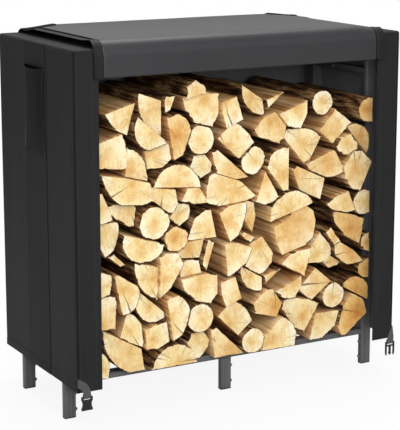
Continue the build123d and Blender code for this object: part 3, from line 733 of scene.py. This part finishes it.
def handle_point(side, a, b):
    """A place on a handle: flat along its lower end and at its two upper corners, gaping between them."""
    share = min(max((b - HANDLE_SEWN) / (handle_h - HANDLE_SEWN), 0), 1)
    side_share = abs(2 * a / handle_w - 1)
    mouth = 1 - side_share ** 2.5
    pinch = 1 - side_share ** 8 * ease(0.9, 1, share)
    bow = math.sin(0.5 * math.pi * share ** 0.5) * (0.06 + 0.94 * mouth * (0.45 + 0.55 * share)) * pinch
    across = (a - handle_w / 2) * (1 - HANDLE_WAIST * math.sin(math.pi * share))
    droop = HANDLE_DROOP * mouth * ease(0.7, 1.0, share)
    ripples = HANDLE_RIPPLE * bow * noise.noise(Vector((a / 0.05, b / 0.06, 60.0 + side)))
    base = side_point(side, half_d + across, handle_low.z - hem_z + b - droop, HANDLE_LIFT)
    return base + Vector((side * (HANDLE_BOW * bow + ripples), 0, 0))


def slot_shade_point(side, a, b):
    """A near-black sheet of painted shade in the hand slot, on the band behind the handle's upper edge."""
    across, up = half_d - handle_w / 2 + SLOT_IN + a, handle_high.z - hem_z - SLOT_H + b
    return side_point(side, across, up, SLOT_LIFT)


def painted_highlight_edge(side, a, b):
    """Painted highlight: webbing-coloured faces along a handle's back edge, between two shares of its height.
    """
    from_back = a if side < 0 else handle_w - a
    return from_back < HIGHLIGHT_EDGE_W and HIGHLIGHT_EDGE_LOW < b / handle_h < HIGHLIGHT_EDGE_HIGH


# %% Sew the bands and handles
for side, word in SIDES:
    band = sheet_mesh(word + "_band_cloth", grid_lines(band_w, 0.014, both_ends(band_w, BAND_LINES)), rise,
                      partial(band_point, side), band_cloth, BAND_T)
    # Dark cloth along both edges of the band paints shade there.
    other_finish(band, painted_shade_tape, lambda a, b: min(a, band_w - a) < BAND_SHADE_W)
    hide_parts(word + "_band")
    handle = sheet_mesh(word + "_handle_cloth", grid_lines(handle_w, 0.008, both_ends(handle_w, BAND_LINES)),
                        grid_lines(handle_h, 0.006), partial(handle_point, side), handle_cloth,
                        HANDLE_T)
    # Pale webbing colour on the upper back edge of the handle paints a highlight.
    other_finish(handle, webbing, partial(painted_highlight_edge, side))
    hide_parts(word + "_handle")
    # A near-black sheet behind the handle's mouth paints the shade in the hand slot.
    inside = sheet_mesh(word + "_hand_slot_shade", grid_lines(slot_w, 0.012), grid_lines(SLOT_H, 0.009),
                        partial(slot_shade_point, side), painted_shade_lining, SLOT_T)
print("band mm:", round(band_w * 1000), "handle mm:", round(handle_w * 1000), round(handle_h * 1000))

# %% [markdown]
# ## Straps
# Two short webbing straps come out of the front corners and carry the halves of a buckle. A strap is a flat
# ribbon: a line of middle points, a way across it at each of them, and a grid between its two edges.

# %% Strap helpers
WEB_W, WEB_T, WEB_CROWN = 0.025, 0.0018, 0.0003
WEB_LINES = (0.001, 0.0025)
BAR_R, BAR_GAP, BAR_DOWN, WEB_TAIL = 0.002, 0.0003, 0.003, 0.012
DOWN_WAY = Vector((-1, 0, 0))
web_y = -half_d - FRONT_GAP
socket_low, socket_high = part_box("buckle_socket")
prong_low, prong_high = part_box("buckle_prongs")
left_x = (socket_low.x + socket_high.x) / 2
right_x = (prong_low.x + prong_high.x) / 2
bar_y = (socket_low.y + socket_high.y) / 2


def round_bar(x, top):
    """Down the front of a buckle's bar, round it and up behind: points along the strap's middle."""
    centre = Vector((x, bar_y, top - BAR_DOWN))
    turns = [math.radians(180 + 15 * k) for k in range(13)]
    away = BAR_R + BAR_GAP + WEB_T / 2
    loop = [centre + away * Vector((0, math.cos(t), math.sin(t))) for t in turns]
    return loop + [loop[-1] + Vector((0, 0, WEB_TAIL * k / 3)) for k in (1, 2, 3)]


def strap_sheet(word, middle, ways):
    """A ribbon of webbing along its middle points, level past the ways it is given. Returns its length."""
    ways = ways + [DOWN_WAY] * (len(middle) - len(ways))
    lengths = [0.0]
    for here, there in zip(middle, middle[1:]):
        lengths.append(lengths[-1] + (there - here).length)
    spots = {length: (point, way) for length, point, way in zip(lengths, middle, ways)}

    def place(a, b):
        point, way = spots[b]
        crown = WEB_CROWN * ease(0.0, 0.003, min(a, WEB_W - a))
        return point + way * (a - WEB_W / 2) + Vector((0, -crown, 0))

    across = grid_lines(WEB_W, 0.004, both_ends(WEB_W, WEB_LINES))
    strap = sheet_mesh(word + "_strap_web", across, lengths, place, webbing, WEB_T, 0)
    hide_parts(word + "_strap")
    return lengths[-1]


def corner_y(x):
    """How far forward webbing lies that leaves a front corner and follows its round edge."""
    past = max(abs(x) - half_w + CORNER_R, 0)
    return web_y + CORNER_R - math.sqrt(max(CORNER_R ** 2 - past ** 2, 0))


# %% [markdown]
# The left strap leaves its corner at a slope and bends round until it hangs. The right one comes out of the
# corner as a narrow fold and opens to its full width on the way down. Both then turn round a buckle's bar.

# %% Straps
ROOT_IN, ROOT_UP, ROOT_RUN, ROOT_SLOPE = 0.0012, 0.156, 0.010, math.radians(28)
heading = Vector((math.cos(ROOT_SLOPE), 0, -math.sin(ROOT_SLOPE)))
square = Vector((heading.z, 0, -heading.x))
left_middle, left_ways = [], []
for k in range(4):
    left_middle.append(Vector((ROOT_IN - half_w, 0, ROOT_UP)) + heading * (ROOT_RUN * k / 3))
    left_ways.append(square + heading * (math.tan(ROOT_SLOPE) * (1 - k / 3)))
bend_r = (left_x - left_middle[-1].x) / (1 - math.sin(ROOT_SLOPE))
bend_low = left_middle[-1].z - bend_r * math.cos(ROOT_SLOPE)
for k in range(1, 13):
    turn = ROOT_SLOPE + (math.pi / 2 - ROOT_SLOPE) * k / 12
    away = bend_r * (1 - math.sin(turn))
    left_middle.append(Vector((left_x - away, 0, bend_low + bend_r * math.cos(turn))))
    left_ways.append(Vector((-math.sin(turn), 0, -math.cos(turn))))
for spot in left_middle:
    spot.y = corner_y(spot.x)
left_middle += round_bar(left_x, socket_high.z)
left_l = strap_sheet("left", left_middle, left_ways)

FOLD_TOP, FOLD_LOW, FOLD_FLAT = 0.166, 0.128, 0.120
FOLD_OUTER, FOLD_INNER = half_w - 0.0005, half_w - 0.003
right_middle, right_ways = [], []
for k in range(9):
    share = k / 8
    outer = FOLD_OUTER + share * (right_x + WEB_W / 2 - FOLD_OUTER)
    inner = FOLD_INNER + share * (right_x - WEB_W / 2 - FOLD_INNER)
    right_middle.append(Vector(((outer + inner) / 2, web_y, FOLD_TOP + share * (FOLD_LOW - FOLD_TOP))))
    right_ways.append(Vector(((inner - outer) / WEB_W, 0, 0)))
right_middle += [Vector((right_x, web_y, z)) for z in (FOLD_FLAT, prong_high.z)]
right_middle += round_bar(right_x, prong_high.z)
right_l = strap_sheet("right", right_middle, right_ways)
print("strap lengths mm:", round(left_l * 1000), round(right_l * 1000))

# %% [markdown]
# ## Firewood
# The solids give every log its outline, length and place. A real log also has a ridged bark side, torn fibres
# where it was split, a rim of bark round its sawn end and growth rings round its pith. Each log's end
# outline is read from a merged copy of its solid and walked in short steps. Long straight edges between
# sharp corners count as split, the rest as bark. The surface only ever sinks in from the outline, so
# neighbours stay clear of each other.

# %% Read the logs
def log_solids(node):
    """The end outline and the two ends of each log in a course, from a merged copy of its solids."""
    work = bmesh.new()
    work.from_mesh(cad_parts[node].data)
    bmesh.ops.remove_doubles(work, verts=work.verts, dist=1e-5)
    waiting, found = set(work.verts), []
    while waiting:
        heap = [waiting.pop()]
        group = set(heap)
        while heap:
            for edge in heap.pop().link_edges:
                for corner in edge.verts:
                    if corner in waiting:
                        waiting.remove(corner)
                        group.add(corner)
                        heap.append(corner)
        front, back = min(v.co.y for v in group), max(v.co.y for v in group)
        ends = {f for v in group for f in v.link_faces if all(abs(c.co.y - front) < 1e-4 for c in f.verts)}
        rim = {}
        for face in ends:
            for loop in face.loops:
                if sum(f in ends for f in loop.edge.link_faces) == 1:
                    rim[loop.vert] = loop.link_loop_next.vert
        start = min(rim, key=lambda v: (v.co.x, v.co.z))
        outline, here = [], start
        while True:
            outline.append((here.co.x, here.co.z))
            here = rim[here]
            if here is start:
                break
        found.append((outline, front, back))
    work.free()
    return sorted(found)


logs = {node: log_solids(node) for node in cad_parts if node.startswith("log_course")}
print("logs:", sum(len(found) for found in logs.values()))

# %% Walk an outline
RIM_STEP = 0.0055
SPLIT_EDGE = 0.042
SOFT_TURN = math.radians(48)


def turning(outline, k):
    """How sharply an outline turns at a corner."""
    (x0, z0), (x1, z1), (x2, z2) = outline[k - 1], outline[k], outline[(k + 1) % len(outline)]
    before, after = Vector((x1 - x0, z1 - z0)), Vector((x2 - x1, z2 - z1))
    return abs(before.angle_signed(after)) if before.length and after.length else 0.0


def walk(outline):
    """Points round an outline as [x, z, bark, sharp], softened where the log is round."""
    count = len(outline)
    soft = [turning(outline, k) < SOFT_TURN for k in range(count)]
    rim = []
    for k in range(count):
        here, there = Vector(outline[k]), Vector(outline[(k + 1) % count])
        length = (there - here).length
        split = length > SPLIT_EDGE and not (soft[k] and soft[(k + 1) % count] and length < 2 * SPLIT_EDGE)
        pieces = max(1, math.ceil(length / RIM_STEP))
        for step in range(pieces):
            spot = here.lerp(there, step / pieces)
            rim.append([spot.x, spot.y, 0.0 if split else 1.0, step == 0 and not soft[k]])
    for _ in range(3):
        last = [list(spot) for spot in rim]
        for k, spot in enumerate(last):
            if not spot[3]:
                for axis in (0, 1):
                    rim[k][axis] = (last[k - 1][axis] + 2 * spot[axis] + last[(k + 1) % len(last)][axis]) / 4
    return rim


def pith_of(rim, chance):
    """Where the growth rings are centred and how far the bark is: near the middle of a mostly barked log,
    else a guess from the bark's side or at random.
    """
    middle = Vector((sum(s[0] for s in rim), sum(s[1] for s in rim))) / len(rim)
    size = max((Vector(s[:2]) - middle).length for s in rim)
    bark = [Vector(s[:2]) for s in rim if s[2]]
    if len(bark) > 0.85 * len(rim):
        return middle + 0.12 * size * Vector((chance.uniform(-1, 1), chance.uniform(-1, 1))), size
    if len(bark) < 5:
        turn = chance.uniform(0, 2 * math.pi)
        pith = middle + 0.9 * size * Vector((math.cos(turn), math.sin(turn)))
    else:
        face = sum(bark, Vector((0, 0))) / len(bark)
        pith = middle - (face - middle) * chance.uniform(0.7, 1.1)
    return pith, max((Vector(s[:2]) - pith).length for s in rim)


# %% [markdown]
# A log is then a tube of rings along its length. Its ends are slightly out of square, as a saw leaves them,
# with the arris knocked off, a rim of bark and a flat of end grain. Attributes on the points carry what the
# finishes need: the place from the pith, the bark's distance, the log's tone, which is its own random tone
# plus painted shade towards the right, and a number of its own.

# %% Rings of a log
LOG_RINGS = 15
ARRIS = 0.0008
BARK_T = 0.0016
SKIN, RIDGE_DEPTH, PLATE_DEPTH, FIBRE_DEPTH, TEAR_DEPTH = 0.0002, 0.0022, 0.0005, 0.0004, 0.0007
END_LEAN, CHIP_DEPTH = 0.03, 0.009
BARK_SLOT, SPLIT_SLOT, END_SLOT = range(3)


def sink(spot, y, around, number):
    """How deep a log's surface lies below its outline."""
    if spot[2]:
        ridge = abs(noise.noise(Vector((around * 75, y * 9, number))))
        plate = noise.noise(Vector((around * 22, y * 16, number + 31)))
        return SKIN + RIDGE_DEPTH * (1 - ridge) ** 3 + PLATE_DEPTH * (plate + 0.6)
    fibre = noise.noise(Vector((around * 130, y * 5, number)))
    tear = noise.noise(Vector((around * 30, y * 7, number + 17)))
    return SKIN + FIBRE_DEPTH * (fibre + 1) + TEAR_DEPTH * max(tear, 0)


def log_rings(rim, front, back, number, chance):
    """Rings of points from the front end to the back end, with the sawn ends' rims inside them."""
    count = len(rim)
    middle = Vector((sum(s[0] for s in rim), sum(s[1] for s in rim))) / count
    inward = []
    for k in range(count):
        along = Vector(rim[(k + 1) % count][:2]) - Vector(rim[k - 1][:2])
        way = Vector((-along.y, along.x)).normalized()
        inward.append(way if way.dot(middle - Vector(rim[k][:2])) > 0 else -way)
    around = [0.0]
    for k in range(1, count):
        around.append(around[-1] + (Vector(rim[k][:2]) - Vector(rim[k - 1][:2])).length)
    slope = Vector((chance.uniform(-END_LEAN, END_LEAN), chance.uniform(-END_LEAN, END_LEAN)))
    rough = CHIP_DEPTH * chance.random() ** 2

    def ring(y, deeper, chips):
        spots = []
        for k, spot in enumerate(rim):
            chip = max(noise.noise(Vector((around[k] * 60, y, number + 50))) - 0.05, 0)
            depth = sink(spot, y, around[k], number) + deeper + rough * chips * chip
            flat = Vector(spot[:2]) + inward[k] * depth
            lean = slope.dot(flat - middle)
            spots.append((flat.x, y + lean, flat.y))
        return spots

    rings = [ring(front, ARRIS + BARK_T, 1.0), ring(front, ARRIS, 1.0)]
    for k in range(LOG_RINGS):
        share = k / (LOG_RINGS - 1)
        y = front + ARRIS + share * (back - front - 2 * ARRIS)
        rings.append(ring(y, 0.0, 0.8 if share in (0, 1) else 0.0))
    rings += [ring(back, ARRIS, 1.0), ring(back, ARRIS + BARK_T, 1.0)]
    return rings, middle


# %% Build a course
# Painted shade: the tone grows towards the right and more in the right-hand column, which makes those ends
# warmer and darker.
TONE_SPREAD, SHADE_SLOPE = (0.28, 0.27), 0.35
RIGHT_COLUMN_SHADE, SHADED_COLUMN = 0.5, (0.42, 0.47)


def log_course(node, finishes):
    """One course of the stack as a single mesh of separate logs."""
    points, faces, slots = [], [], []
    marks = {"pith": [], "bark_r": [], "tone_and_shade": [], "number": []}
    for index, (outline, front, back) in enumerate(logs[node]):
        chance = random.Random(f"{node} {index}")
        number = chance.uniform(0, 90)
        rim = walk(outline)
        count = len(rim)
        pith, bark_r = pith_of(rim, chance)
        rings, middle = log_rings(rim, front, back, number, chance)
        first = len(points)
        for spots in rings:
            points += spots
        for row in range(len(rings) - 1):
            for k in range(count):
                after = (k + 1) % count
                base = first + row * count
                faces.append((base + k, base + after, base + count + after, base + count + k))
                bark = rim[k][2] and rim[after][2]
                rim_row = row in (0, len(rings) - 2)
                slots.append(BARK_SLOT if bark else END_SLOT if rim_row else SPLIT_SLOT)
        for ring_start, turned in ((first, True), (first + (len(rings) - 1) * count, False)):
            hub = len(points)
            points.append((middle.x, front if turned else back, middle.y))
            for k in range(count):
                pair = (ring_start + k, ring_start + (k + 1) % count)
                faces.append((pair[1], pair[0], hub) if turned else (*pair, hub))
                slots.append(END_SLOT)
        # The tone is each log's own random tone plus painted shade that rises towards the right and in the
        # right-hand column.
        tone_and_shade = chance.gauss(*TONE_SPREAD) + SHADE_SLOPE * middle.x + RIGHT_COLUMN_SHADE * ease(*SHADED_COLUMN, middle.x)
        for x, y, z in points[first:]:
            marks["pith"].append((x - pith.x, y, z - pith.y))
            marks["bark_r"].append(bark_r)
            marks["tone_and_shade"].append(min(max(tone_and_shade, 0), 1))
            marks["number"].append(number)
    mesh = bpy.data.meshes.new(node + "_wood")
    mesh.from_pydata(points, [], faces)
    for finish in finishes:
        mesh.materials.append(finish)
    mesh.polygons.foreach_set("material_index", slots)
    for name, values in marks.items():
        vector = name == "pith"
        layer = mesh.attributes.new(name, "FLOAT_VECTOR" if vector else "FLOAT", "POINT")
        flat = [part for value in values for part in value] if vector else values
        layer.data.foreach_set("vector" if vector else "value", flat)
    work = bmesh.new()
    work.from_mesh(mesh)
    bmesh.ops.recalc_face_normals(work, faces=work.faces)
    for face in work.faces:
        face.smooth = face.material_index != END_SLOT
    work.to_mesh(mesh)
    work.free()
    piece = put(node + "_wood", mesh)
    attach(piece, "root")
    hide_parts(node)
    return piece


# %% [markdown]
# ## End grain
# A sawn end is palest by the bark and warmer towards the pith, with fine rings round the pith and faint saw
# marks. It takes the log's own random tone, so no two logs match, and painted shade adds to that tone towards
# the right and most in the right-hand column, so those ends come out warmer and darker.

# %% End grain
def mark(finish, name, output="Fac"):
    """An attribute of the logs."""
    return add(finish, "Attribute", attribute_name=name).outputs[output]


def log_noise(finish, scale, detail, stretch=(1, 1, 1)):
    """Noise that differs from log to log, drawn out where its stretch is small."""
    step = add(finish, "CombineXYZ", {"X": mark(finish, "number")}).outputs[0]
    moved = places(finish, "ADD", own_place(finish), step)
    return speckle(finish, places(finish, "MULTIPLY", moved, stretch), scale, detail, 0.6)


RING_GAP, RING_WAVER = 0.0066, 0.016
end_grain = new_finish("end_grain", Roughness=0.75, Specular_IOR_Level=0.25)
from_pith = places(end_grain, "MULTIPLY", mark(end_grain, "pith", "Vector"), (1, 0, 1))
waver = log_noise(end_grain, 14.0, 3.0)
ring_at = maths(end_grain, "MULTIPLY_ADD", waver, RING_WAVER, places(end_grain, "LENGTH", from_pith))
ring_wave = maths(end_grain, "SINE", maths(end_grain, "MULTIPLY", ring_at, 2 * math.pi / RING_GAP))
heart = maths(end_grain, "MULTIPLY", maths(end_grain, "DIVIDE", ring_at, mark(end_grain, "bark_r")), 0.85)
fresh = ramp(end_grain, heart,
             [(0.06, "e0ba74"), (0.22, "ead096"), (0.48, "f0e0b0"), (0.66, "f3e9c4"), (0.8, "f7f0d6")])
warm = ramp(end_grain, heart, [(0.08, "c98a42"), (0.4, "dcac60"), (0.85, "e9c884")])
# A higher tone mixes in the warm, darker ramp: partly each log's own colour, partly painted shade towards the
# right.
end_colour = mix(end_grain, spread(end_grain, mark(end_grain, "tone_and_shade"), 0.30, 1.0, 0.0, 0.9), fresh, warm)
blotches = log_noise(end_grain, 26.0, 5.0)
end_colour = shaded(end_grain, end_colour, 0.5, blotches, [(0.40, "e9c489"), (0.54, "ffffff")])
ring_share = maths(end_grain, "MULTIPLY_ADD", ring_wave, 0.5, 0.5)
end_colour = shaded(end_grain, end_colour, 0.26, ring_share, [(0.0, "cfa866"), (0.6, "ffffff")])
saw = log_noise(end_grain, 190.0, 2.0, (1, 1, 0.25))
end_colour = shaded(end_grain, end_colour, 0.35, saw, [(0.35, "e2d0ac"), (0.6, "ffffff")])

# %% [markdown]
# As an end dries it opens in short cracks that point at the pith. They are lines of equal noise on the way
# from the pith, so they run straight out. Some logs also have one long split, which a maker calls a shake: a
# ray from the pith in a direction of the log's own, which wanders a little and widens towards the bark.

# %% Drying cracks and shakes
CRACK_AT, CRACK_W = 0.56, 0.014
SHAKEN_LOGS = 0.3
SHAKE_TURN, SHAKE_WANDER, SHAKE_FROM = 2.9, 0.02, 0.004
own_number = mark(end_grain, "number")


def along_ray(way):
    """How far a place on the end lies from the pith in one direction, an angle."""
    pointer = add(end_grain, "CombineXYZ",
                  {"X": maths(end_grain, "COSINE", way), "Z": maths(end_grain, "SINE", way)}).outputs[0]
    return places(end_grain, "DOT_PRODUCT", from_pith, pointer)


def apart(first, second):
    return maths(end_grain, "ABSOLUTE", maths(end_grain, "SUBTRACT", first, second))


spoke = places(end_grain, "NORMALIZE", from_pith)
spoke_place = places(end_grain, "ADD", spoke, mark(end_grain, "number", "Vector"))
spoke_noise = speckle(end_grain, spoke_place, 5.5, 3.0)
crack_line = spread(end_grain, apart(spoke_noise, CRACK_AT), 0.0, CRACK_W, 1.0, 0.0)
crack = maths(end_grain, "MULTIPLY", crack_line, spread(end_grain, waver, 0.47, 0.56))

shake_way = maths(end_grain, "MULTIPLY", own_number, SHAKE_TURN)
ahead = along_ray(shake_way)
aside = along_ray(maths(end_grain, "ADD", shake_way, math.pi / 2))
wander = maths(end_grain, "MULTIPLY", maths(end_grain, "SUBTRACT", waver, 0.5), SHAKE_WANDER)
off_ray = maths(end_grain, "DIVIDE", apart(aside, wander), maths(end_grain, "MAXIMUM", ahead, 0.01))
shake = maths(end_grain, "MULTIPLY", spread(end_grain, off_ray, 0.022, 0.048, 1.0, 0.0),
              spread(end_grain, ahead, SHAKE_FROM, 3 * SHAKE_FROM))
draw = maths(end_grain, "FRACT", maths(end_grain, "MULTIPLY", own_number, 3.71))
shake = maths(end_grain, "MULTIPLY", shake, maths(end_grain, "LESS_THAN", draw, SHAKEN_LOGS))
crack = maths(end_grain, "MAXIMUM", crack, shake)

end_colour = mix(end_grain, maths(end_grain, "MULTIPLY", crack, 0.8), end_colour, tint("5a3518"))
end_height = maths(end_grain, "SUBTRACT", maths(end_grain, "MULTIPLY_ADD", ring_wave, 0.15, saw), crack)
coat(end_grain, end_colour, end_height, 0.35, 0.0012)
print("end grain nodes:", len(end_grain.node_tree.nodes))

# %% [markdown]
# ## Split faces and bark
# A split face shows long fibres, drawn out along the log, over a slow drift from pale to brown. Bark shows
# dark ridges and paler worn plates.

# %% Split faces and bark
split_grain = new_finish("split_grain", Roughness=0.8, Specular_IOR_Level=0.2)
fibres = log_noise(split_grain, 85.0, 3.0, (1, 0.03, 1))
wood = ramp(split_grain, fibres, [(0.34, "a87c50"), (0.45, "d8b07a"), (0.54, "ebcf9d"), (0.66, "f6e5c2")])
drift = log_noise(split_grain, 12.0, 4.0, (1, 0.2, 1))
wood = shaded(split_grain, wood, 0.6, drift, [(0.36, "bc9266"), (0.5, "f3e1c1"), (0.62, "fff7e8")])
split_tone = maths(split_grain, "FRACT", maths(split_grain, "MULTIPLY", mark(split_grain, "number"), 7.13))
brown = mix(split_grain, 0.6, wood, tint("ac7a50"), "MULTIPLY")
coat(split_grain, mix(split_grain, split_tone, wood, brown), fibres, 0.5, 0.002)

bark = new_finish("bark", Roughness=0.9, Specular_IOR_Level=0.15)
ridges = log_noise(bark, 75.0, 4.0, (1, 0.12, 1))
plates = log_noise(bark, 24.0, 5.0, (1, 0.5, 1))
rind = ramp(bark, ridges, [(0.36, "21160e"), (0.46, "55391f"), (0.55, "8e6a44"), (0.66, "b89a70")])
rind = shaded(bark, rind, 0.7, plates, [(0.40, "8d6c52"), (0.58, "ffffff")])
coat(bark, rind, maths(bark, "ADD", ridges, plates), 0.9, 0.004)
print("wood finishes:", [finish.name for finish in (end_grain, split_grain, bark)])

# %% Stack the logs
courses = [log_course(node, (bark, split_grain, end_grain)) for node in logs]
print("log triangles:", sum(len(p.vertices) - 2 for piece in courses for p in piece.data.polygons))

# %% [markdown]
# ## Stitches
# Every seam is sewn in dark thread. The seams are lines on the panels, so the panels' own rules give their
# points, a hair above the cloth. A node tree walks each line in even steps and sets a small stitch at each
# step, turned along the line. The result is made a plain mesh, since instances don't leave Blender.

# %% Seam lines
THREAD_LIFT = 0.0003
BAND_SEAM, SEAM_START, HANDLE_SEAM = 0.004, 0.007, 0.004
FLAP_SEAMS, FLAP_SEAM_END, FLAP_HEM_IN = (GROOVE_AT, 0.0245), 0.002, 0.03
seams = []


def seam(rule, start, end, pitch=0.012):
    """A sewn line from one place on a flat cut to another."""
    (a0, b0), (a1, b1) = start, end
    count = max(1, round(math.hypot(a1 - a0, b1 - b0) / pitch))
    seams.append([rule(a0 + (a1 - a0) * k / count, b0 + (b1 - b0) * k / count) for k in range(count + 1)])


def lifted(rule, side, a, b):
    """A place on a band or a handle, with the thread's lift out of that side."""
    return rule(side, a, b) + Vector((side * THREAD_LIFT, 0, 0))


seam_top = side_h - WELT_SEAM
for side, _ in SIDES:
    on_side = partial(side_point, side, lift=THREAD_LIFT)
    on_strip = partial(strip_point, side, lift=THREAD_LIFT)
    on_band = partial(lifted, band_point, side)
    on_handle = partial(lifted, handle_point, side)
    for a in (WELT_SEAM, side_d - WELT_SEAM):
        seam(on_side, (a, SEAM_START), (a, seam_top))
    for b in (HEM_SEAM, seam_top):
        seam(on_side, (WELT_SEAM, b), (side_d - WELT_SEAM, b))
    seam(on_strip, (WELT_SEAM, SEAM_START), (WELT_SEAM, seam_top))
    seam(on_strip, (strip_w - HEM_SEAM, HEM_SEAM), (strip_w - HEM_SEAM, side_h - valance_h))
    seam(on_strip, (WELT_SEAM, HEM_SEAM), (strip_w - HEM_SEAM, HEM_SEAM))
    for a in (BAND_SEAM, band_w - BAND_SEAM):
        seam(on_band, (a, HEM_SEAM), (a, seam_top))
    for b in (HANDLE_SEAM, 3 * HANDLE_SEAM):
        seam(on_handle, (HANDLE_SEAM, b), (handle_w - HANDLE_SEAM, b))
    for a in (HANDLE_SEAM, handle_w - HANDLE_SEAM):
        seam(on_handle, (a, 3 * HANDLE_SEAM), (a, handle_h - HANDLE_SEAM))

on_back = partial(back_point, lift=THREAD_LIFT)
on_flap = partial(flap_point, lift=FLAP_CUT_T / 2 + THREAD_LIFT)
for a in (WELT_SEAM, cover_w - WELT_SEAM):
    seam(on_back, (a, SEAM_START), (a, seam_top))
seam(on_back, (WELT_SEAM, HEM_SEAM), (cover_w - WELT_SEAM, HEM_SEAM))
for from_edge in FLAP_SEAMS:
    for a in (from_edge, flap_w - from_edge):
        seam(on_flap, (a, fold_end), (a, flap_l - FLAP_SEAM_END), pitch=0.008)
seam(on_flap, (FLAP_HEM_IN, flap_l - HEM_SEAM), (flap_w - FLAP_HEM_IN, flap_l - HEM_SEAM))
print("seams:", len(seams))


# %% Node tree helpers
def open_tree(name, sizes):
    """A geometry tree with named sizes and a finish, with its inputs and the sockets that carry them."""
    tree = bpy.data.node_groups.new(name, "GeometryNodeTree")
    tree.interface.new_socket("Geometry", in_out="INPUT", socket_type="NodeSocketGeometry")
    inputs = {size: tree.interface.new_socket(size, in_out="INPUT", socket_type="NodeSocketFloat")
              for size in sizes}
    inputs["Finish"] = tree.interface.new_socket("Finish", in_out="INPUT", socket_type="NodeSocketMaterial")
    tree.interface.new_socket("Geometry", in_out="OUTPUT", socket_type="NodeSocketGeometry")
    return tree, inputs, add_node(tree, "NodeGroupInput").outputs


def close_tree(tree, points, instance, way, finish, scale=(1, 1, 1)):
    """Sets one shape at every point, turned along a way, and ends the tree with real, finished geometry."""
    turned = add_node(tree, "FunctionNodeAlignRotationToVector", {"Vector": way}, axis="Z").outputs[0]
    placed = add_node(tree, "GeometryNodeInstanceOnPoints",
                      {"Points": points, "Instance": instance, "Rotation": turned, "Scale": scale}).outputs[0]
    real = add_node(tree, "GeometryNodeRealizeInstances", {"Geometry": placed}).outputs[0]
    finished = add_node(tree, "GeometryNodeSetMaterial", {"Geometry": real, "Material": finish}).outputs[0]
    add_node(tree, "NodeGroupOutput", {"Geometry": finished})


def three_sizes(tree, across, along):
    """Sizes with the same width both ways across and a length along."""
    return add_node(tree, "ShaderNodeCombineXYZ", {"X": across, "Y": across, "Z": along}).outputs[0]


def plain_mesh(name, points, edges, tree, inputs, values, ways=None):
    """Runs a tree on some points and lines, and keeps the result as a plain mesh that rides on the store."""
    mesh = bpy.data.meshes.new(name + "_lines")
    mesh.from_pydata(points, edges, [])
    if ways:
        layer = mesh.attributes.new("outward", "FLOAT_VECTOR", "POINT")
        layer.data.foreach_set("vector", [part for way in ways for part in way])
    piece = put(name, mesh)
    worker = piece.modifiers.new(name, "NODES")
    worker.node_group = tree
    for size, value in values.items():
        worker[inputs[size].identifier] = value
    made = bpy.data.meshes.new_from_object(piece.evaluated_get(bpy.context.evaluated_depsgraph_get()))
    piece.modifiers.clear()
    piece.data = made
    made.name = name
    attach(piece, "root")
    print(name, "triangles:", sum(len(face.vertices) - 2 for face in made.polygons))


# %% Sew the stitches
tree, inputs, given = open_tree("stitches", ["Pitch", "Length", "Thickness"])
line = add_node(tree, "GeometryNodeMeshToCurve", {"Mesh": given["Geometry"]}).outputs[0]
steps = add_node(tree, "GeometryNodeResampleCurve", {"Curve": line, "Length": given["Pitch"]},
                 mode="LENGTH").outputs[0]
bead = add_node(tree, "GeometryNodeMeshUVSphere", {"Segments": 5, "Rings": 4, "Radius": 0.5}).outputs[0]
along = add_node(tree, "GeometryNodeInputTangent").outputs[0]
bead_size = three_sizes(tree, given["Thickness"], given["Length"])
close_tree(tree, steps, bead, along, given["Finish"], bead_size)

seam_points, seam_edges = [], []
for line_points in seams:
    first = len(seam_points)
    seam_edges += [(first + k, first + k + 1) for k in range(len(line_points) - 1)]
    seam_points += [tuple(point) for point in line_points]
STITCH = {"Pitch": 0.0075, "Length": 0.005, "Thickness": 0.0009, "Finish": sewing_thread}
plain_mesh("stitches", seam_points, seam_edges, tree, inputs, STITCH)

# %% [markdown]
# ## Bolts
# Domed bolts hold the legs and the cross rails. Each is a washer and a dome, and a node tree sets one at
# every bolt place, turned the way that its face looks.

# %% Bolts
tree, inputs, given = open_tree("bolts", ["Washer radius", "Washer height", "Head radius", "Head height"])
washer_size = {"Vertices": 20, "Radius": given["Washer radius"], "Depth": given["Washer height"]}
washer = add_node(tree, "GeometryNodeMeshCylinder", washer_size).outputs[0]
dome = add_node(tree, "GeometryNodeMeshUVSphere", {"Segments": 16, "Rings": 8, "Radius": 1.0}).outputs[0]
head_size = three_sizes(tree, given["Head radius"], given["Head height"])
head = add_node(tree, "GeometryNodeTransform", {"Geometry": dome, "Scale": head_size}).outputs[0]
bolt = add_node(tree, "GeometryNodeJoinGeometry")
for part in (washer, head):
    tree.links.new(part, bolt.inputs[0])
outward = add_node(tree, "GeometryNodeInputNamedAttribute", {"Name": "outward"},
                   data_type="FLOAT_VECTOR").outputs[0]
close_tree(tree, given["Geometry"], bolt.outputs[0], outward, given["Finish"])

BOLT_HEIGHTS = (0.026, 0.080)
BOLT_BEHIND = 0.03
LEGS = [end + leg for leg in ("_left_post", "_middle_leg", "_right_post") for end in ("front", "back")]
bolt_places, bolt_ways = [], []


def set_bolt(node, way, behind, z=None):
    """A bolt on a tube's left or right face, at half its height unless another is given."""
    low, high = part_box(node)
    middle = (low + high) / 2
    bolt_places.append((high.x if way > 0 else low.x, middle.y + behind, middle.z if z is None else z))
    bolt_ways.append((way, 0, 0))


for leg in LEGS:
    for z in BOLT_HEIGHTS:
        set_bolt(leg, -1 if "right" in leg else 1, 0.0, z)
for node, way in (("left_cross_rail", 1), ("right_cross_rail", -1)):
    set_bolt(node, way, BOLT_BEHIND)
BOLT = {"Washer radius": 0.0078, "Washer height": 0.004, "Head radius": 0.0062, "Head height": 0.0085,
        "Finish": steel_up}
plain_mesh("bolts", bolt_places, [], tree, inputs, BOLT, bolt_ways)
